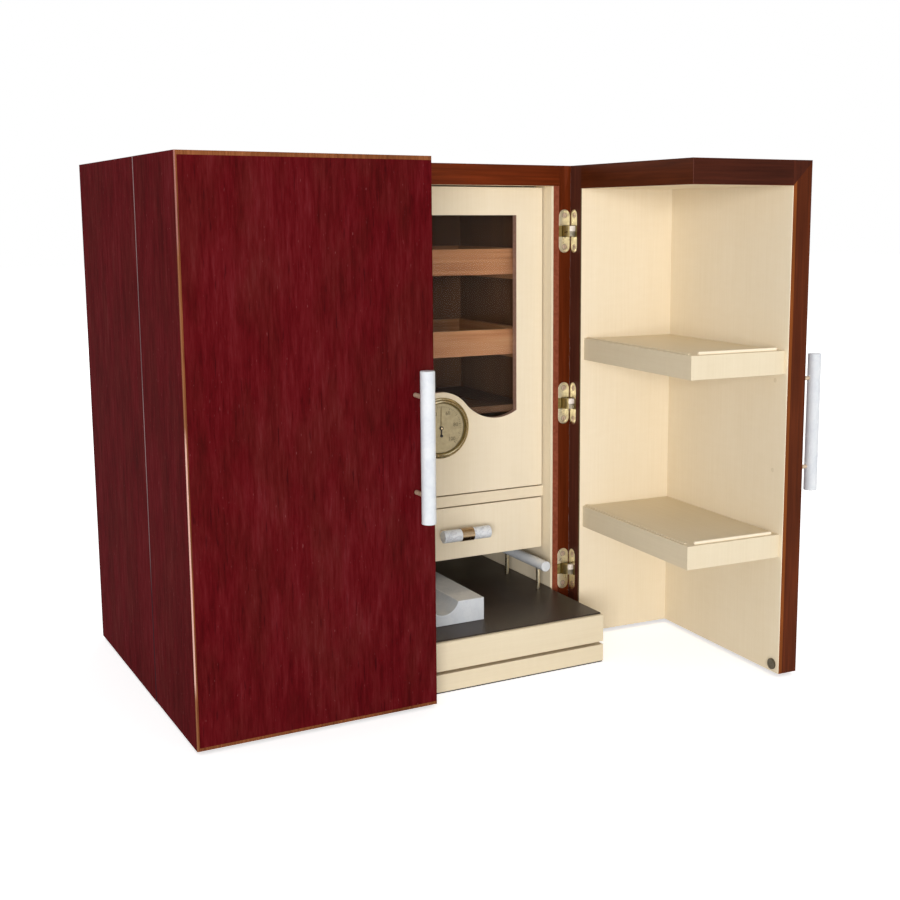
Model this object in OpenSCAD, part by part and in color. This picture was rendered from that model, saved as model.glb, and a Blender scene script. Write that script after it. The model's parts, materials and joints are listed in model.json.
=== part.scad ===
// Counter-top bar cabinet with a glass-doored humidor, two box doors and a leather-topped base.
// X runs across the front, Y to the back and Z up. Y = 0 is the front face of the carcass, where
// the doors' concealed hinges sit, and the origin is on the surface that the cabinet stands on.

/* [Carcass] */
// Outside width
cabinet_w = 496; // [480:1:560]
// Height of the carcass sides
carcass_h = 550; // [545:1:600]
// Depth behind the doors
carcass_d = 249; // [240:1:320]
// Height of the carcass sides above the table
foot_gap = 3; // [2:0.5:6]
// Thickness of the outer side boards
side_t = 15; // [12:0.5:18]
// Thickness of the lining boards
lining_t = 8; // [6:0.5:10]
// Thickness of the top board
top_t = 23; // [18:0.5:25]
// Thickness of the back board
back_t = 12; // [9:0.5:18]
// Depth of the bevel on the front edge of the side linings
bevel_d = 4; // [2:0.5:6]

/* [Base and tray] */
// How far the base and the tray stand out in front of the carcass
base_proj = 116; // [90:1:118]
// Thickness of the felt under the base
felt_t = 1.5; // [1:0.5:3]
// How far the felt stays back from the edge of the base
felt_inset = 3; // [2:1:10]
// Thickness of the base board
base_t = 19; // [15:0.5:22]
// Height of the shadow gap between base and tray
reveal_h = 3.5; // [2:0.5:6]
// How far the strips in the shadow gap stay back from the edge
reveal_d = 9; // [5:1:20]
// Thickness of the tray board
tray_t = 31; // [25:0.5:34]
// Thickness of the leather on the tray
leather_t = 1.5; // [1:0.5:3]
// Width of the bare edge of the tray in front of the leather
leather_inset = 4; // [2:0.5:10]
// Gap between the tray and the closed doors at each side
tray_gap = 1.2; // [0.5:0.1:4]

/* [Doors] */
// Depth of a door box in front of the seam
door_d = 147; // [146:1:170]
// Thickness of the front and side panels
door_t = 24; // [18:0.5:25]
// Thickness of the top panels
door_top_t = 26; // [18:0.5:30]
// Gap between the two doors
door_gap = 1.5; // [1:0.1:4]
// Gap between the carcass and a closed door
seam = 1; // [0.8:0.1:2]
// Clearance under the doors, above the feet of the carcass sides
door_lift = 0.6; // [0:0.1:3]
// Angle at which the right door stands open
door_angle = 87.3; // [0:0.1:105]

/* [Door shelves] */
// Thickness of a shelf
shelf_t = 25; // [18:0.5:30]
// Height of the top of the lower shelf
shelf_low_z = 158.5; // [150:0.5:190]
// Height of the top of the upper shelf
shelf_high_z = 356.5; // [330:0.5:380]
// How far a shelf stays back from the two free edges of its door
shelf_inset = 5; // [3:0.5:15]
// Width of the raised lip along the free edges of a shelf
lip_w = 4; // [3:0.5:8]
// Height of the raised lip
lip_h = 5; // [3:0.5:15]
// Distance from a shelf's free edge to the lip
lip_inset = 3; // [1:0.5:8]

/* [Marble rods] */
// Diameter of the marble rods of the door and drawer handles
rod_dia = 14.5; // [10:0.5:18]
// Length of a door handle
handle_l = 150; // [110:1:200]
// Height of the middle of a door handle
handle_z = 275; // [200:1:330]
// Distance of a door handle from the free edge of its door
handle_inset = 20; // [14:0.5:40]
// Distance from the door to the middle of its handle
handle_out = 28; // [20:0.5:35]
// Spacing of the posts of a door handle
handle_pitch = 97; // [70:1:105]
// Diameter of the brass posts of the handles
post_dia = 4.5; // [4:0.5:8]
// Length of the brass ferrules on the drawer handle
drawer_band_l = 15.5; // [8:0.5:20]
// Length of the drawer handle
drawer_rod_l = 60; // [50:1:90]
// Height of the drawer handle above the middle of the drawer front
drawer_rod_rise = 2; // [-8:0.5:8]
// Distance from the drawer front to the middle of its handle
drawer_rod_out = 18; // [12:0.5:21]
// Spacing of the posts of the drawer handle
drawer_post_pitch = 36; // [30:1:44]

/* [Gallery rails and ashtray] */
// Diameter of the two marble rails on the tray
rail_dia = 12.5; // [9:0.5:16]
// Length of a rail
rail_l = 114; // [90:1:140]
// Where the front end of a rail lies, behind the front of the carcass
rail_front_y = -13; // [-40:1:10]
// Height of the middle of a rail above the leather
rail_rise = 31; // [20:0.5:34]
// Distance of a rail from the side of the tray
rail_inset = 13.5; // [8:0.5:30]
// Distance from the ends of a rail to its posts
rail_post_inset = 19; // [10:1:30]
// Width of the marble ashtray
ash_w = 192; // [150:1:220]
// Depth of the marble ashtray
ash_d = 120; // [100:1:140]
// Height of the marble ashtray
ash_h = 25.5; // [20:0.5:30]
// Distance of the ashtray from the front edge of the tray
ash_setback = 46; // [30:1:60]
// Distance between the two cigar channels
ash_pitch = 93.6; // [80:1:110]
// Width of a cigar channel
ash_channel_w = 35; // [20:1:45]
// Depth of a cigar channel
ash_channel_h = 13.5; // [8:0.5:16]

/* [Inside] */
// Thickness of the divider between the bottle space and the humidor
divider_t = 12; // [9:0.5:18]
// How far the inner fronts stand back from the front of the carcass
front_setback = 22; // [20:0.5:30]
// Thickness of the humidor door and of the drawer front
front_t = 18; // [15:0.5:20]
// Gap round the humidor door and the drawer front
front_gap = 1.5; // [1:0.1:3]
// Height of the underside of the drawer front
drawer_z = 102.5; // [100:0.5:112]
// Height of the drawer front
drawer_h = 61; // [52:0.5:75]
// Thickness of the board between the drawer and the humidor
midboard_t = 12.5; // [10:0.5:18]
// Thickness of the board under the drawer
deck_t = 8; // [6:0.5:10]
// Height of the underside of that board above the lower edge of the drawer front
deck_rise = 1.5; // [0.5:0.5:4]
// Thickness of the wooden runners under the drawer
runner_t = 2; // [1:0.5:4]
// Room behind the drawer box
drawer_back = 19; // [4:1:60]
// Thickness of the sides of the drawer box
drawer_wall = 8; // [6:0.5:12]
// Thickness of the bottom of the drawer box
drawer_floor = 4; // [3:0.5:6]

/* [Humidor] */
// Thickness of the cedar lining
cedar_t = 6; // [4:0.5:8]
// Thickness of the cedar floor
cedar_floor_t = 8; // [6:0.5:12]
// Height of the top of the cedar floor
cedar_floor_z = 275; // [262:1:290]
// Height of the underside of the lower cedar tray
tray_low_z = 334.5; // [320:0.5:350]
// Height of the underside of the upper cedar tray
tray_high_z = 428.5; // [410:0.5:440]
// Height of a cedar tray
cedar_tray_h = 30; // [24:0.5:40]
// Gap between the cedar trays and the lining behind them
cedar_tray_gap = 3; // [1:0.5:40]
// Distance of the cedar trays behind the humidor door
cedar_tray_back = 10; // [6:1:14]
// Thickness of a cedar tray's walls
cedar_wall = 7; // [5:0.5:10]
// Thickness of a cedar tray's bottom
cedar_base = 3; // [2:0.5:5]
// Width of the runners under the cedar trays
cleat_w = 7; // [5:0.5:12]
// Height of those runners
cleat_h = 7; // [5:0.5:10]
// Width of the humidor door's stiles
stile_w = 34.5; // [28:0.5:40]
// Height of the humidor door's top rail
door_rail_h = 31.5; // [25:0.5:45]
// Thickness of the pane
glass_t = 4; // [3:0.5:5]
// Distance of the pane behind the face of the humidor door
glass_back = 8; // [6:0.5:10]
// How far the pane reaches behind the edge of its opening
rebate_w = 5; // [4:0.5:8]
// Diameter of the humidor door's pivot pins
pivot_dia = 3; // [2.5:0.5:4]
// Distance of the pivot axis from the edge of the humidor door
pivot_edge = 5; // [4:0.5:7]
// Distance of the pivot axis behind the face of the humidor door
pivot_face = 3.5; // [3:0.5:5]
// Length of a pivot pin inside the door
pivot_in = 10; // [6:0.5:12]
// Length of a pivot pin outside the door
pivot_out = 5; // [4:0.5:8]
// Diameter of the humidor door's knob
knob_dia = 12; // [8:0.5:14]
// How far the knob stands out from the humidor door
knob_out = 14; // [12:0.5:15]
// Height of the knob above the dial's middle
knob_rise = 90; // [50:1:140]

/* [Hygrometer] */
// Outside diameter of the bezel
bezel_dia = 70; // [60:0.5:72]
// Diameter of the case behind the bezel
case_dia = 60; // [52:0.5:62]
// Length of the case
case_l = 21; // [18:0.5:21.5]
// Distance of the dial's middle from the free edge of the humidor door
dial_x = 89; // [84:0.5:100]
// Height of the dial's middle
dial_z = 257.5; // [250:0.5:262]
// Thickness of the bezel in front of the humidor door
bezel_t = 4.5; // [3:0.5:6]
// Radius of the wave over the dial
bump_r = 41; // [40:0.5:46]
// Distance from the dial's middle to the middle of the hollow beside it
hollow_x = 72; // [70:0.5:78]
// Radius of the hollow beside the dial
hollow_r = 52; // [48:0.5:54]
// Length of the needle from the dial's middle
needle_l = 23; // [15:0.5:25]
// Angle of the needle from upright
needle_angle = 0; // [-60:1:60]

/* [Concealed hinges] */
// Length of a hinge plate
leaf_l = 49.5; // [40:0.5:60]
// Width of a hinge plate
leaf_w = 14.5; // [13:0.5:14.5]
// Thickness of a hinge plate
leaf_t = 2; // [1.5:0.5:3]
// Distance of a hinge plate's middle from the outside of the cabinet
leaf_inset = 8; // [7.5:0.5:8]
// Height of the middle of the lowest hinge
hinge_z = 78.5; // [70:0.5:90]
// Distance from one hinge to the next
hinge_pitch = 200.2; // [180:0.1:210]
// Radius of the middle of the link that joins two plates
link_r = 8; // [7:0.5:8.5]
// Thickness of the link
link_t = 4.8; // [3:0.2:5]
// Height of the link
link_h = 12; // [8:0.5:14]
// Half of the angle that the link spans
link_half = 60; // [56:1:62]
// Clearance round the link in its pockets
link_clear = 0.5; // [0.4:0.1:0.8]
// Spacing of the screws in a hinge plate
screw_pitch = 36; // [30:0.5:38]
// Diameter of a screw's head
screw_head = 6.6; // [5:0.2:8]
// Diameter of a screw's shank
screw_dia = 3; // [2.5:0.5:4]
// Length of a screw
screw_l = 13; // [10:0.5:16]

/* [Catches] */
// Diameter of the magnets in the doors
magnet_dia = 12; // [8:0.5:16]
// Thickness of the magnets
magnet_t = 2.5; // [2:0.5:4]
// Width of the steel strikes hidden in the base
strike_w = 12; // [8:0.5:16]
// Thickness of the strikes
strike_t = 3; // [1.5:0.5:4]
// Thickness of the wood in front of a strike
strike_skin = 1.5; // [1:0.5:3]
// Thickness of the wood above a strike
strike_cover = 3; // [2:0.5:6]
// Distance of a magnet from the free edge of its door
magnet_inset = 10.5; // [8:0.5:20]
// Height of the magnets
magnet_z = 12.5; // [10:0.5:14]

/* [Humidifier] */
// Width of the humidifier under the cedar floor
humidifier_w = 110; // [60:1:150]
// Depth of the humidifier
humidifier_d = 80; // [50:1:110]
// Height of the humidifier
humidifier_h = 38; // [20:1:60]

/* [Hidden] */
$fn = 48;
eps = 0.01;
half_w = cabinet_w / 2;
sides_top = foot_gap + carcass_h;
ceiling = sides_top - top_t;
wall_x = half_w - side_t - lining_t;
back_y = carcass_d - back_t;
wall_y = back_y - lining_t;

base_x = half_w - door_t - tray_gap;
base_top = felt_t + base_t;
tray_z = base_top + reveal_h;
tray_top = tray_z + tray_t;
leather_top = tray_top + leather_t;

door_z = foot_gap + door_lift;
door_free_x = door_gap / 2;
door_face_y = -seam - door_d;
door_inner_y = door_face_y + door_t;
door_inner_x = half_w - door_t;
door_ceiling = sides_top - door_top_t;
hinge_y = -seam / 2;

fronts_y = front_setback + front_t;
front_x = [front_gap, wall_x - front_gap];
drawer_top = drawer_z + drawer_h;
midboard_z = drawer_top + front_gap;
midboard_top = midboard_z + midboard_t;
deck_z = drawer_z + deck_rise;
deck_top = deck_z + deck_t;
drawer_box_z = deck_top + runner_t;
drawer_play = 5;
drawer_box_x = [front_x[0] + drawer_play, front_x[1] - drawer_play];
drawer_box_h = drawer_top - 5 - drawer_box_z;
runner_w = 12;

glass_door_z = midboard_top + front_gap;
glass_door_top = ceiling - front_gap;
window_x = [front_x[0] + stile_w, front_x[1] - stile_w];
window_top = glass_door_top - door_rail_h;
dial_pos = [front_x[0] + dial_x, dial_z];
// the hollow's arc touches the bump's arc, so its middle lies at the sum of the two radii
hollow_z = dial_z + sqrt(pow(bump_r + hollow_r, 2) - pow(hollow_x, 2));
pivot_pos = [front_x[1] - pivot_edge, front_setback + pivot_face];
cedar_y = fronts_y + 4;
cedar_x = [cedar_t, wall_x - cedar_t];
cedar_play = 0.5;
cedar_tray_y = [fronts_y + cedar_tray_back, wall_y - cedar_t - cedar_tray_gap];

hinge_x = half_w;
leaf_x = half_w - leaf_inset;
leaf_proud = seam / 4;
hole_play = 0.1;

VENEER = [0.36, 0.03, 0.06];
EDGE = [0.40, 0.16, 0.09];
CREAM = [0.93, 0.87, 0.74];
CEDAR = [0.66, 0.44, 0.28];
BRASS = [0.83, 0.68, 0.38];
MARBLE = [0.91, 0.92, 0.93];
LEATHER = [0.17, 0.15, 0.14];

// a block between two corners
module block(low, high) {
    translate(low) cube(high - low);
}

// a flat shape drawn in X and Z, standing between two values of Y
module upright(y_low, y_high) {
    translate([0, y_high, 0]) rotate([90, 0, 0]) linear_extrude(y_high - y_low) children();
}

// a round bar along Y, between two values of Y
module bar_y(x, z, dia, y_low, y_high) {
    translate([x, y_low, z]) rotate([-90, 0, 0]) cylinder(d = dia, h = y_high - y_low);
}

// a round bar along X, between two values of X
module bar_x(y, z, dia, x_low, x_high) {
    translate([x_low, y, z]) rotate([0, 90, 0]) cylinder(d = dia, h = x_high - x_low);
}

// a slot shape with round ends, long along the second axis
module stadium(w, l) {
    square([w, l - w], center = true);
    for (s = [-1, 1]) translate([0, s * (l - w) / 2]) circle(d = w);
}

module mirrored() {
    mirror([1, 0, 0]) children();
}

// carries a right-hand door piece from its closed place to where the door stands open
module swung(angle) {
    translate([hinge_x, hinge_y, 0]) rotate([0, 0, angle]) translate([-hinge_x, -hinge_y, 0])
        children();
}

module on_both_sides() {
    children();
    mirrored() children();
}

// carries a plate set in the carcass to its place in the edge of the closed door
module across_seam() {
    translate([0, -seam, 0]) mirror([0, 1, 0]) children();
}

// part of a ring round the hinge axis, between two angles that are less than 180 degrees apart
module ring_sector(r_in, r_out, h, from, to) {
    translate([hinge_x, hinge_y, 0]) linear_extrude(h, center = true) intersection() {
        difference() {
            circle(r = r_out);
            circle(r = r_in);
        }
        polygon([[0, 0], for (i = [0:3]) let (a = from + (to - from) * i / 3)
            3 * r_out * [cos(a), sin(a)]]);
    }
}

// the pocket that lets a link slide into the wood behind a plate in the carcass
module link_pocket() {
    spare = 6;
    ring_sector(link_r - link_t / 2 - link_clear, link_r + link_t / 2 + link_clear,
        link_h + 2 * link_clear, 180 - link_half - spare, 180 + spare);
}

// where the two screws of a plate go, measured from the plate's middle
module at_screws() {
    for (s = [-1, 1]) translate([leaf_x, 0, s * screw_pitch / 2]) children();
}

module screw(play = 0) {
    head_h = leaf_t * 0.8;
    translate([0, -leaf_proud, 0]) rotate([-90, 0, 0]) {
        cylinder(d1 = screw_head + 2 * play, d2 = screw_dia + 2 * play, h = head_h);
        cylinder(d = screw_dia + 2 * play, h = screw_l + play);
    }
}

module at_hinges() {
    for (i = [0:2]) translate([0, 0, hinge_z + i * hinge_pitch]) children();
}

// everything that a hinge removes from the wood behind one carcass plate
module hinge_cut() {
    at_hinges() {
        translate([leaf_x, 0, 0]) upright(-1, leaf_t - leaf_proud) stadium(leaf_w, leaf_l);
        link_pocket();
        at_screws() screw(hole_play);
    }
}

module hinge_plates() {
    at_hinges() difference() {
        translate([leaf_x, 0, 0]) upright(-leaf_proud, leaf_t - leaf_proud)
            stadium(leaf_w, leaf_l);
        link_pocket();
        at_screws() screw(hole_play);
    }
}

module hinge_screws() {
    at_hinges() at_screws() screw();
}

// the links of a closed door reach as far into the carcass as into the door
module hinge_links() {
    at_hinges() ring_sector(link_r - link_t / 2, link_r + link_t / 2, link_h,
        180 - link_half, 180 + link_half);
}

// the pieces of the carcass

module side_board() {
    difference() {
        block([half_w - side_t, 0, foot_gap], [half_w, carcass_d, sides_top]);
        hinge_cut();
    }
}

module carcass_side_left() {
    color(VENEER) mirrored() side_board();
}

module carcass_side_right() {
    color(VENEER) side_board();
}

module pivot_bore(z_low, z_high) {
    translate([pivot_pos[0], pivot_pos[1], z_low])
        cylinder(d = pivot_dia + hole_play, h = z_high - z_low);
}

module carcass_top() {
    color(VENEER) difference() {
        block([-half_w + side_t, 0, ceiling], [half_w - side_t, carcass_d, sides_top]);
        pivot_bore(ceiling - 1, glass_door_top + pivot_out + 1);
    }
}

module carcass_back() {
    color(VENEER) block([-half_w + side_t, back_y, foot_gap],
        [half_w - side_t, carcass_d, ceiling]);
}

module side_lining() {
    difference() {
        block([wall_x, 0, foot_gap], [half_w - side_t, back_y, ceiling]);
        translate([0, 0, foot_gap - 1]) linear_extrude(ceiling - foot_gap + 2)
            polygon([[wall_x - 1, -1], [half_w - side_t, -1], [half_w - side_t, 0],
                [wall_x, bevel_d], [wall_x - 1, bevel_d]]);
        hinge_cut();
    }
}

module lining_left() {
    color(CREAM) mirrored() side_lining();
}

module lining_right() {
    color(CREAM) side_lining();
}

module lining_back() {
    color(CREAM) block([-wall_x, wall_y, base_top], [wall_x, back_y, ceiling]);
}

// the inside

module divider() {
    color(CREAM) block([-divider_t, front_setback, deck_z], [0, wall_y, ceiling]);
}

module mid_board() {
    color(CREAM) difference() {
        block([0, front_setback, midboard_z], [wall_x, wall_y, midboard_top]);
        pivot_bore(glass_door_z - pivot_out - 1, midboard_top + 1);
    }
}

module drawer_deck() {
    color(CREAM) block([0, fronts_y, deck_z], [wall_x, wall_y, deck_top]);
}

// two strips under the drawer, and a pair under the cedar floor and under each cedar tray
module wooden_runners() {
    color(CEDAR) {
        for (x = [drawer_box_x[0], drawer_box_x[1] - runner_w])
            block([x, fronts_y + 2, deck_top], [x + runner_w, wall_y - 2, drawer_box_z]);
        for (z = [cedar_floor_z - cedar_floor_t, tray_low_z, tray_high_z],
            x = [cedar_x[0], cedar_x[1] - cleat_w])
            block([x, cedar_tray_y[0], z - cleat_h], [x + cleat_w, cedar_tray_y[1], z]);
    }
}

module cedar_lining() {
    color(CEDAR) difference() {
        block([0, cedar_y, midboard_top], [wall_x, wall_y, ceiling]);
        block([cedar_x[0], cedar_y - 1, midboard_top - 1],
            [cedar_x[1], wall_y - cedar_t, ceiling - cedar_t]);
    }
}

module cedar_floor() {
    slot_w = 6;
    slot_pitch = 26;
    slot_edge = 34;
    y_low = cedar_tray_y[0] + slot_edge;
    y_high = wall_y - cedar_t - slot_edge;
    color(CEDAR) difference() {
        block([cedar_x[0], cedar_y, cedar_floor_z - cedar_floor_t],
            [cedar_x[1], wall_y - cedar_t, cedar_floor_z]);
        for (x = [cedar_x[0] + slot_edge:slot_pitch:cedar_x[1] - slot_edge])
            block([x, y_low, cedar_floor_z - cedar_floor_t - 1],
                [x + slot_w, y_high, cedar_floor_z + 1]);
    }
}

module cedar_tray(z) {
    gap_w = 5;
    slat_pitch = 25;
    x_low = cedar_x[0] + cedar_play;
    x_high = cedar_x[1] - cedar_play;
    y_low = cedar_tray_y[0];
    y_high = cedar_tray_y[1];
    color(CEDAR) difference() {
        block([x_low, y_low, z], [x_high, y_high, z + cedar_tray_h]);
        block([x_low + cedar_wall, y_low + cedar_wall, z + cedar_base],
            [x_high - cedar_wall, y_high - cedar_wall, z + cedar_tray_h + 1]);
        for (y = [y_low + slat_pitch:slat_pitch:y_high - slat_pitch])
            block([x_low + 2 * cedar_wall, y, z - 1],
                [x_high - 2 * cedar_wall, y + gap_w, z + cedar_base + 1]);
    }
}

module cedar_tray_lower() {
    cedar_tray(tray_low_z);
}

module cedar_tray_upper() {
    cedar_tray(tray_high_z);
}

module humidifier_case() {
    vent_w = 3;
    vent_pitch = 9;
    low = [(wall_x - humidifier_w) / 2, (cedar_y + wall_y - humidifier_d) / 2, midboard_top];
    high = low + [humidifier_w, humidifier_d, humidifier_h];
    color([0.12, 0.12, 0.13]) difference() {
        block(low, high);
        for (x = [low[0] + vent_pitch:vent_pitch:high[0] - vent_pitch])
            block([x, low[1] + vent_pitch, high[2] - 2 * vent_w],
                [x + vent_w, high[1] - vent_pitch, high[2] + 1]);
    }
}

// the base and what stands on it

// a board that is narrow between the closed doors and fills the carcass behind them
module stepped_board(x_front, x_back, y_low, y_high, z_low, z_high) {
    translate([0, 0, z_low]) linear_extrude(z_high - z_low)
        polygon([[-x_front, y_low], [x_front, y_low], [x_front, 0], [x_back, 0],
            [x_back, y_high], [-x_back, y_high], [-x_back, 0], [-x_front, 0]]);
}

// the steel plates behind the front of the base, or the slots for them, cut from below
module strikes(below = 0) {
    x = door_free_x + magnet_inset;
    y = -base_proj + strike_skin;
    on_both_sides() block([x - strike_w / 2, y, felt_t - below],
        [x + strike_w / 2, y + strike_t, base_top - strike_cover]);
}

module base_board() {
    color(CREAM) difference() {
        stepped_board(base_x, wall_x, -base_proj, back_y, felt_t, base_top);
        strikes(1);
    }
}

module base_felt() {
    color([0.13, 0.10, 0.09]) block([-base_x + felt_inset, -base_proj + felt_inset, 0],
        [base_x - felt_inset, wall_y, felt_t]);
}

module reveal_strips() {
    strip_w = 30;
    x_out = base_x - reveal_d;
    y_low = -base_proj + reveal_d;
    color([0.42, 0.32, 0.20]) {
        block([-x_out, y_low, base_top], [x_out, y_low + strip_w, tray_z]);
        on_both_sides() block([x_out - strip_w, y_low + strip_w, base_top],
            [x_out, wall_y - reveal_d, tray_z]);
    }
}

module tray_board() {
    color(CREAM) stepped_board(base_x, wall_x, -base_proj, wall_y, tray_z, tray_top);
}

module tray_leather() {
    side = leather_inset / 4;
    color(LEATHER) stepped_board(base_x - side, wall_x - side, -base_proj + leather_inset,
        wall_y, tray_top, leather_top);
}

rail_x = base_x - rail_inset;
rail_z = leather_top + rail_rise;

module gallery_rails() {
    color(MARBLE) on_both_sides()
        bar_y(rail_x, rail_z, rail_dia, rail_front_y, rail_front_y + rail_l);
}

// each post ends in the flat on which the rail's underside rests
module gallery_posts() {
    color(BRASS) on_both_sides()
        for (y = [rail_front_y + rail_post_inset, rail_front_y + rail_l - rail_post_inset])
            difference() {
                translate([rail_x, y, leather_top]) cylinder(d = 4.5, h = rail_rise);
                bar_y(rail_x, rail_z, rail_dia + 2 * eps, y - 5, y + 5);
            }
}

module ashtray() {
    y_low = -base_proj + ash_setback;
    channel_r = (pow(ash_channel_w / 2, 2) + pow(ash_channel_h, 2)) / (2 * ash_channel_h);
    channel_z = leather_top + ash_h - ash_channel_h + channel_r;
    color(MARBLE) difference() {
        block([-ash_w / 2, y_low, leather_top], [ash_w / 2, y_low + ash_d, leather_top + ash_h]);
        on_both_sides()
            bar_y(ash_pitch / 2, channel_z, 2 * channel_r, y_low - 1, y_low + ash_d + 1);
    }
}

module carcass_hinge_plates() {
    color(BRASS) on_both_sides() hinge_plates();
}

module carcass_hinge_screws() {
    color(BRASS) on_both_sides() hinge_screws();
}

module catch_strikes() {
    color([0.35, 0.35, 0.36]) strikes();
}

// the pieces of a door, in the closed place of the right-hand one

module door_front() {
    color(VENEER) block([door_free_x, door_face_y, door_z], [half_w, door_inner_y, sides_top]);
}

module door_side() {
    color(VENEER) difference() {
        block([door_inner_x, door_inner_y, door_z], [half_w, -seam, sides_top]);
        across_seam() hinge_cut();
    }
}

module door_top() {
    color(VENEER) block([door_free_x, door_inner_y, door_ceiling],
        [door_inner_x, -seam, sides_top]);
}

module door_shelves() {
    color(CREAM) for (z = [shelf_low_z, shelf_high_z])
        block([door_free_x + shelf_inset, door_inner_y, z - shelf_t],
            [door_inner_x, -seam - shelf_inset, z]);
}

// a lip runs along the two free edges of a shelf
module shelf_lips() {
    x_low = door_free_x + shelf_inset + lip_inset;
    y_high = -seam - shelf_inset - lip_inset;
    color(CREAM) for (z = [shelf_low_z, shelf_high_z]) {
        block([x_low, door_inner_y, z], [x_low + lip_w, y_high, z + lip_h]);
        block([x_low + lip_w, y_high - lip_w, z], [door_inner_x, y_high, z + lip_h]);
    }
}

rod_x = door_free_x + handle_inset;
rod_y = door_face_y - handle_out;

module handle_rod() {
    color(MARBLE) translate([rod_x, rod_y, handle_z - handle_l / 2])
        cylinder(d = rod_dia, h = handle_l);
}

// the posts meet the rod face to face
module handle_posts() {
    color(BRASS) for (s = [-1, 1]) difference() {
        bar_y(rod_x, handle_z + s * handle_pitch / 2, post_dia, rod_y, door_face_y);
        translate([rod_x, rod_y, handle_z - handle_l])
            cylinder(d = rod_dia + 2 * eps, h = 2 * handle_l);
    }
}

module door_hinge_plates() {
    color(BRASS) across_seam() hinge_plates();
}

module door_hinge_screws() {
    color(BRASS) across_seam() hinge_screws();
}

module door_magnet() {
    color([0.3, 0.3, 0.31]) bar_y(door_free_x + magnet_inset, magnet_z, magnet_dia,
        door_inner_y, door_inner_y + magnet_t);
}

module left_door_front() { mirrored() door_front(); }
module left_door_side() { mirrored() door_side(); }
module left_door_top() { mirrored() door_top(); }
module left_door_shelves() { mirrored() door_shelves(); }
module left_shelf_lips() { mirrored() shelf_lips(); }
module left_handle_rod() { mirrored() handle_rod(); }
module left_handle_posts() { mirrored() handle_posts(); }
module left_hinge_plates() { mirrored() door_hinge_plates(); }
module left_hinge_screws() { mirrored() door_hinge_screws(); }
module left_magnet() { mirrored() door_magnet(); }
module left_hinge_links() { color(BRASS) mirrored() hinge_links(); }

module right_door_front() { swung(door_angle) door_front(); }
module right_door_side() { swung(door_angle) door_side(); }
module right_door_top() { swung(door_angle) door_top(); }
module right_door_shelves() { swung(door_angle) door_shelves(); }
module right_shelf_lips() { swung(door_angle) shelf_lips(); }
module right_handle_rod() { swung(door_angle) handle_rod(); }
module right_handle_posts() { swung(door_angle) handle_posts(); }
module right_hinge_plates() { swung(door_angle) door_hinge_plates(); }
module right_hinge_screws() { swung(door_angle) door_hinge_screws(); }
module right_magnet() { swung(door_angle) door_magnet(); }
// a link turns half as far as its door
module right_hinge_links() { color(BRASS) swung(door_angle / 2) hinge_links(); }

// the glass door of the humidor

// the window, whose lower edge rises over the dial and dips beside it; grow widens it all round
module window(grow) {
    joint_x = bump_r * hollow_x / (bump_r + hollow_r);
    joint_z = dial_z + bump_r * (hollow_z - dial_z) / (bump_r + hollow_r);
    intersection() {
        translate([window_x[0] - grow, 0])
            square([window_x[1] - window_x[0] + 2 * grow, window_top + grow]);
        difference() {
            union() {
                translate([window_x[0] - grow, hollow_z])
                    square([window_x[1] - window_x[0] + 2 * grow, window_top]);
                translate([dial_pos[0] - joint_x, joint_z])
                    square([2 * joint_x, hollow_z - joint_z + 1]);
                for (s = [-1, 1]) translate([dial_pos[0] + s * hollow_x, hollow_z])
                    circle(r = hollow_r + grow, $fn = 96);
            }
            translate(dial_pos) circle(r = bump_r - grow, $fn = 96);
        }
    }
}

module humidor_frame() {
    color(CREAM) difference() {
        block([front_x[0], front_setback, glass_door_z], [front_x[1], fronts_y, glass_door_top]);
        upright(front_setback - 1, fronts_y + 1) window(0);
        upright(front_setback + glass_back, fronts_y + 1) window(rebate_w);
        bar_y(dial_pos[0], dial_z, case_dia + 2 * hole_play, front_setback - 1, fronts_y + 1);
        pivot_bore(glass_door_z - 1, glass_door_z + pivot_in);
        pivot_bore(glass_door_top - pivot_in, glass_door_top + 1);
    }
}

module humidor_glass() {
    color([0.6, 0.75, 0.75, 0.35])
        upright(front_setback + glass_back, front_setback + glass_back + glass_t)
            window(rebate_w - 0.3);
}

module humidor_pivots() {
    color(BRASS) for (z = [glass_door_z - pivot_out, glass_door_top - pivot_in])
        translate([pivot_pos[0], pivot_pos[1], z])
            cylinder(d = pivot_dia, h = pivot_in + pivot_out);
}

module humidor_knob() {
    neck = 5;
    color(BRASS) translate([front_x[0] + stile_w / 2, front_setback, dial_z + knob_rise])
        rotate([90, 0, 0]) rotate_extrude()
            polygon([[0, 0], [neck / 2 + 1, 0], [neck / 2, 1], [neck / 2, neck],
                [knob_dia / 2, neck + 2], [knob_dia / 2, knob_out - 1.5],
                [knob_dia / 2 - 1.5, knob_out], [0, knob_out]]);
}

// the bezel and the case are one turned and pressed piece of brass, open at the front
module hygrometer_case() {
    r_out = bezel_dia / 2;
    r_case = case_dia / 2;
    wall = 1.5;
    color(BRASS) translate([dial_pos[0], front_setback, dial_z]) rotate([90, 0, 0])
        rotate_extrude($fn = 96)
            polygon([[0, -case_l], [r_case, -case_l], [r_case, 0], [r_out, 0],
                [r_out, bezel_t * 0.4], [r_out - 2, bezel_t], [r_case - wall + 1, bezel_t],
                [r_case - wall, bezel_t - 1.5], [r_case - wall, wall - case_l],
                [0, wall - case_l]]);
}

dial_t = 1;
arbor_dia = 1.6;
dial_y = front_setback - 0.5;

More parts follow.
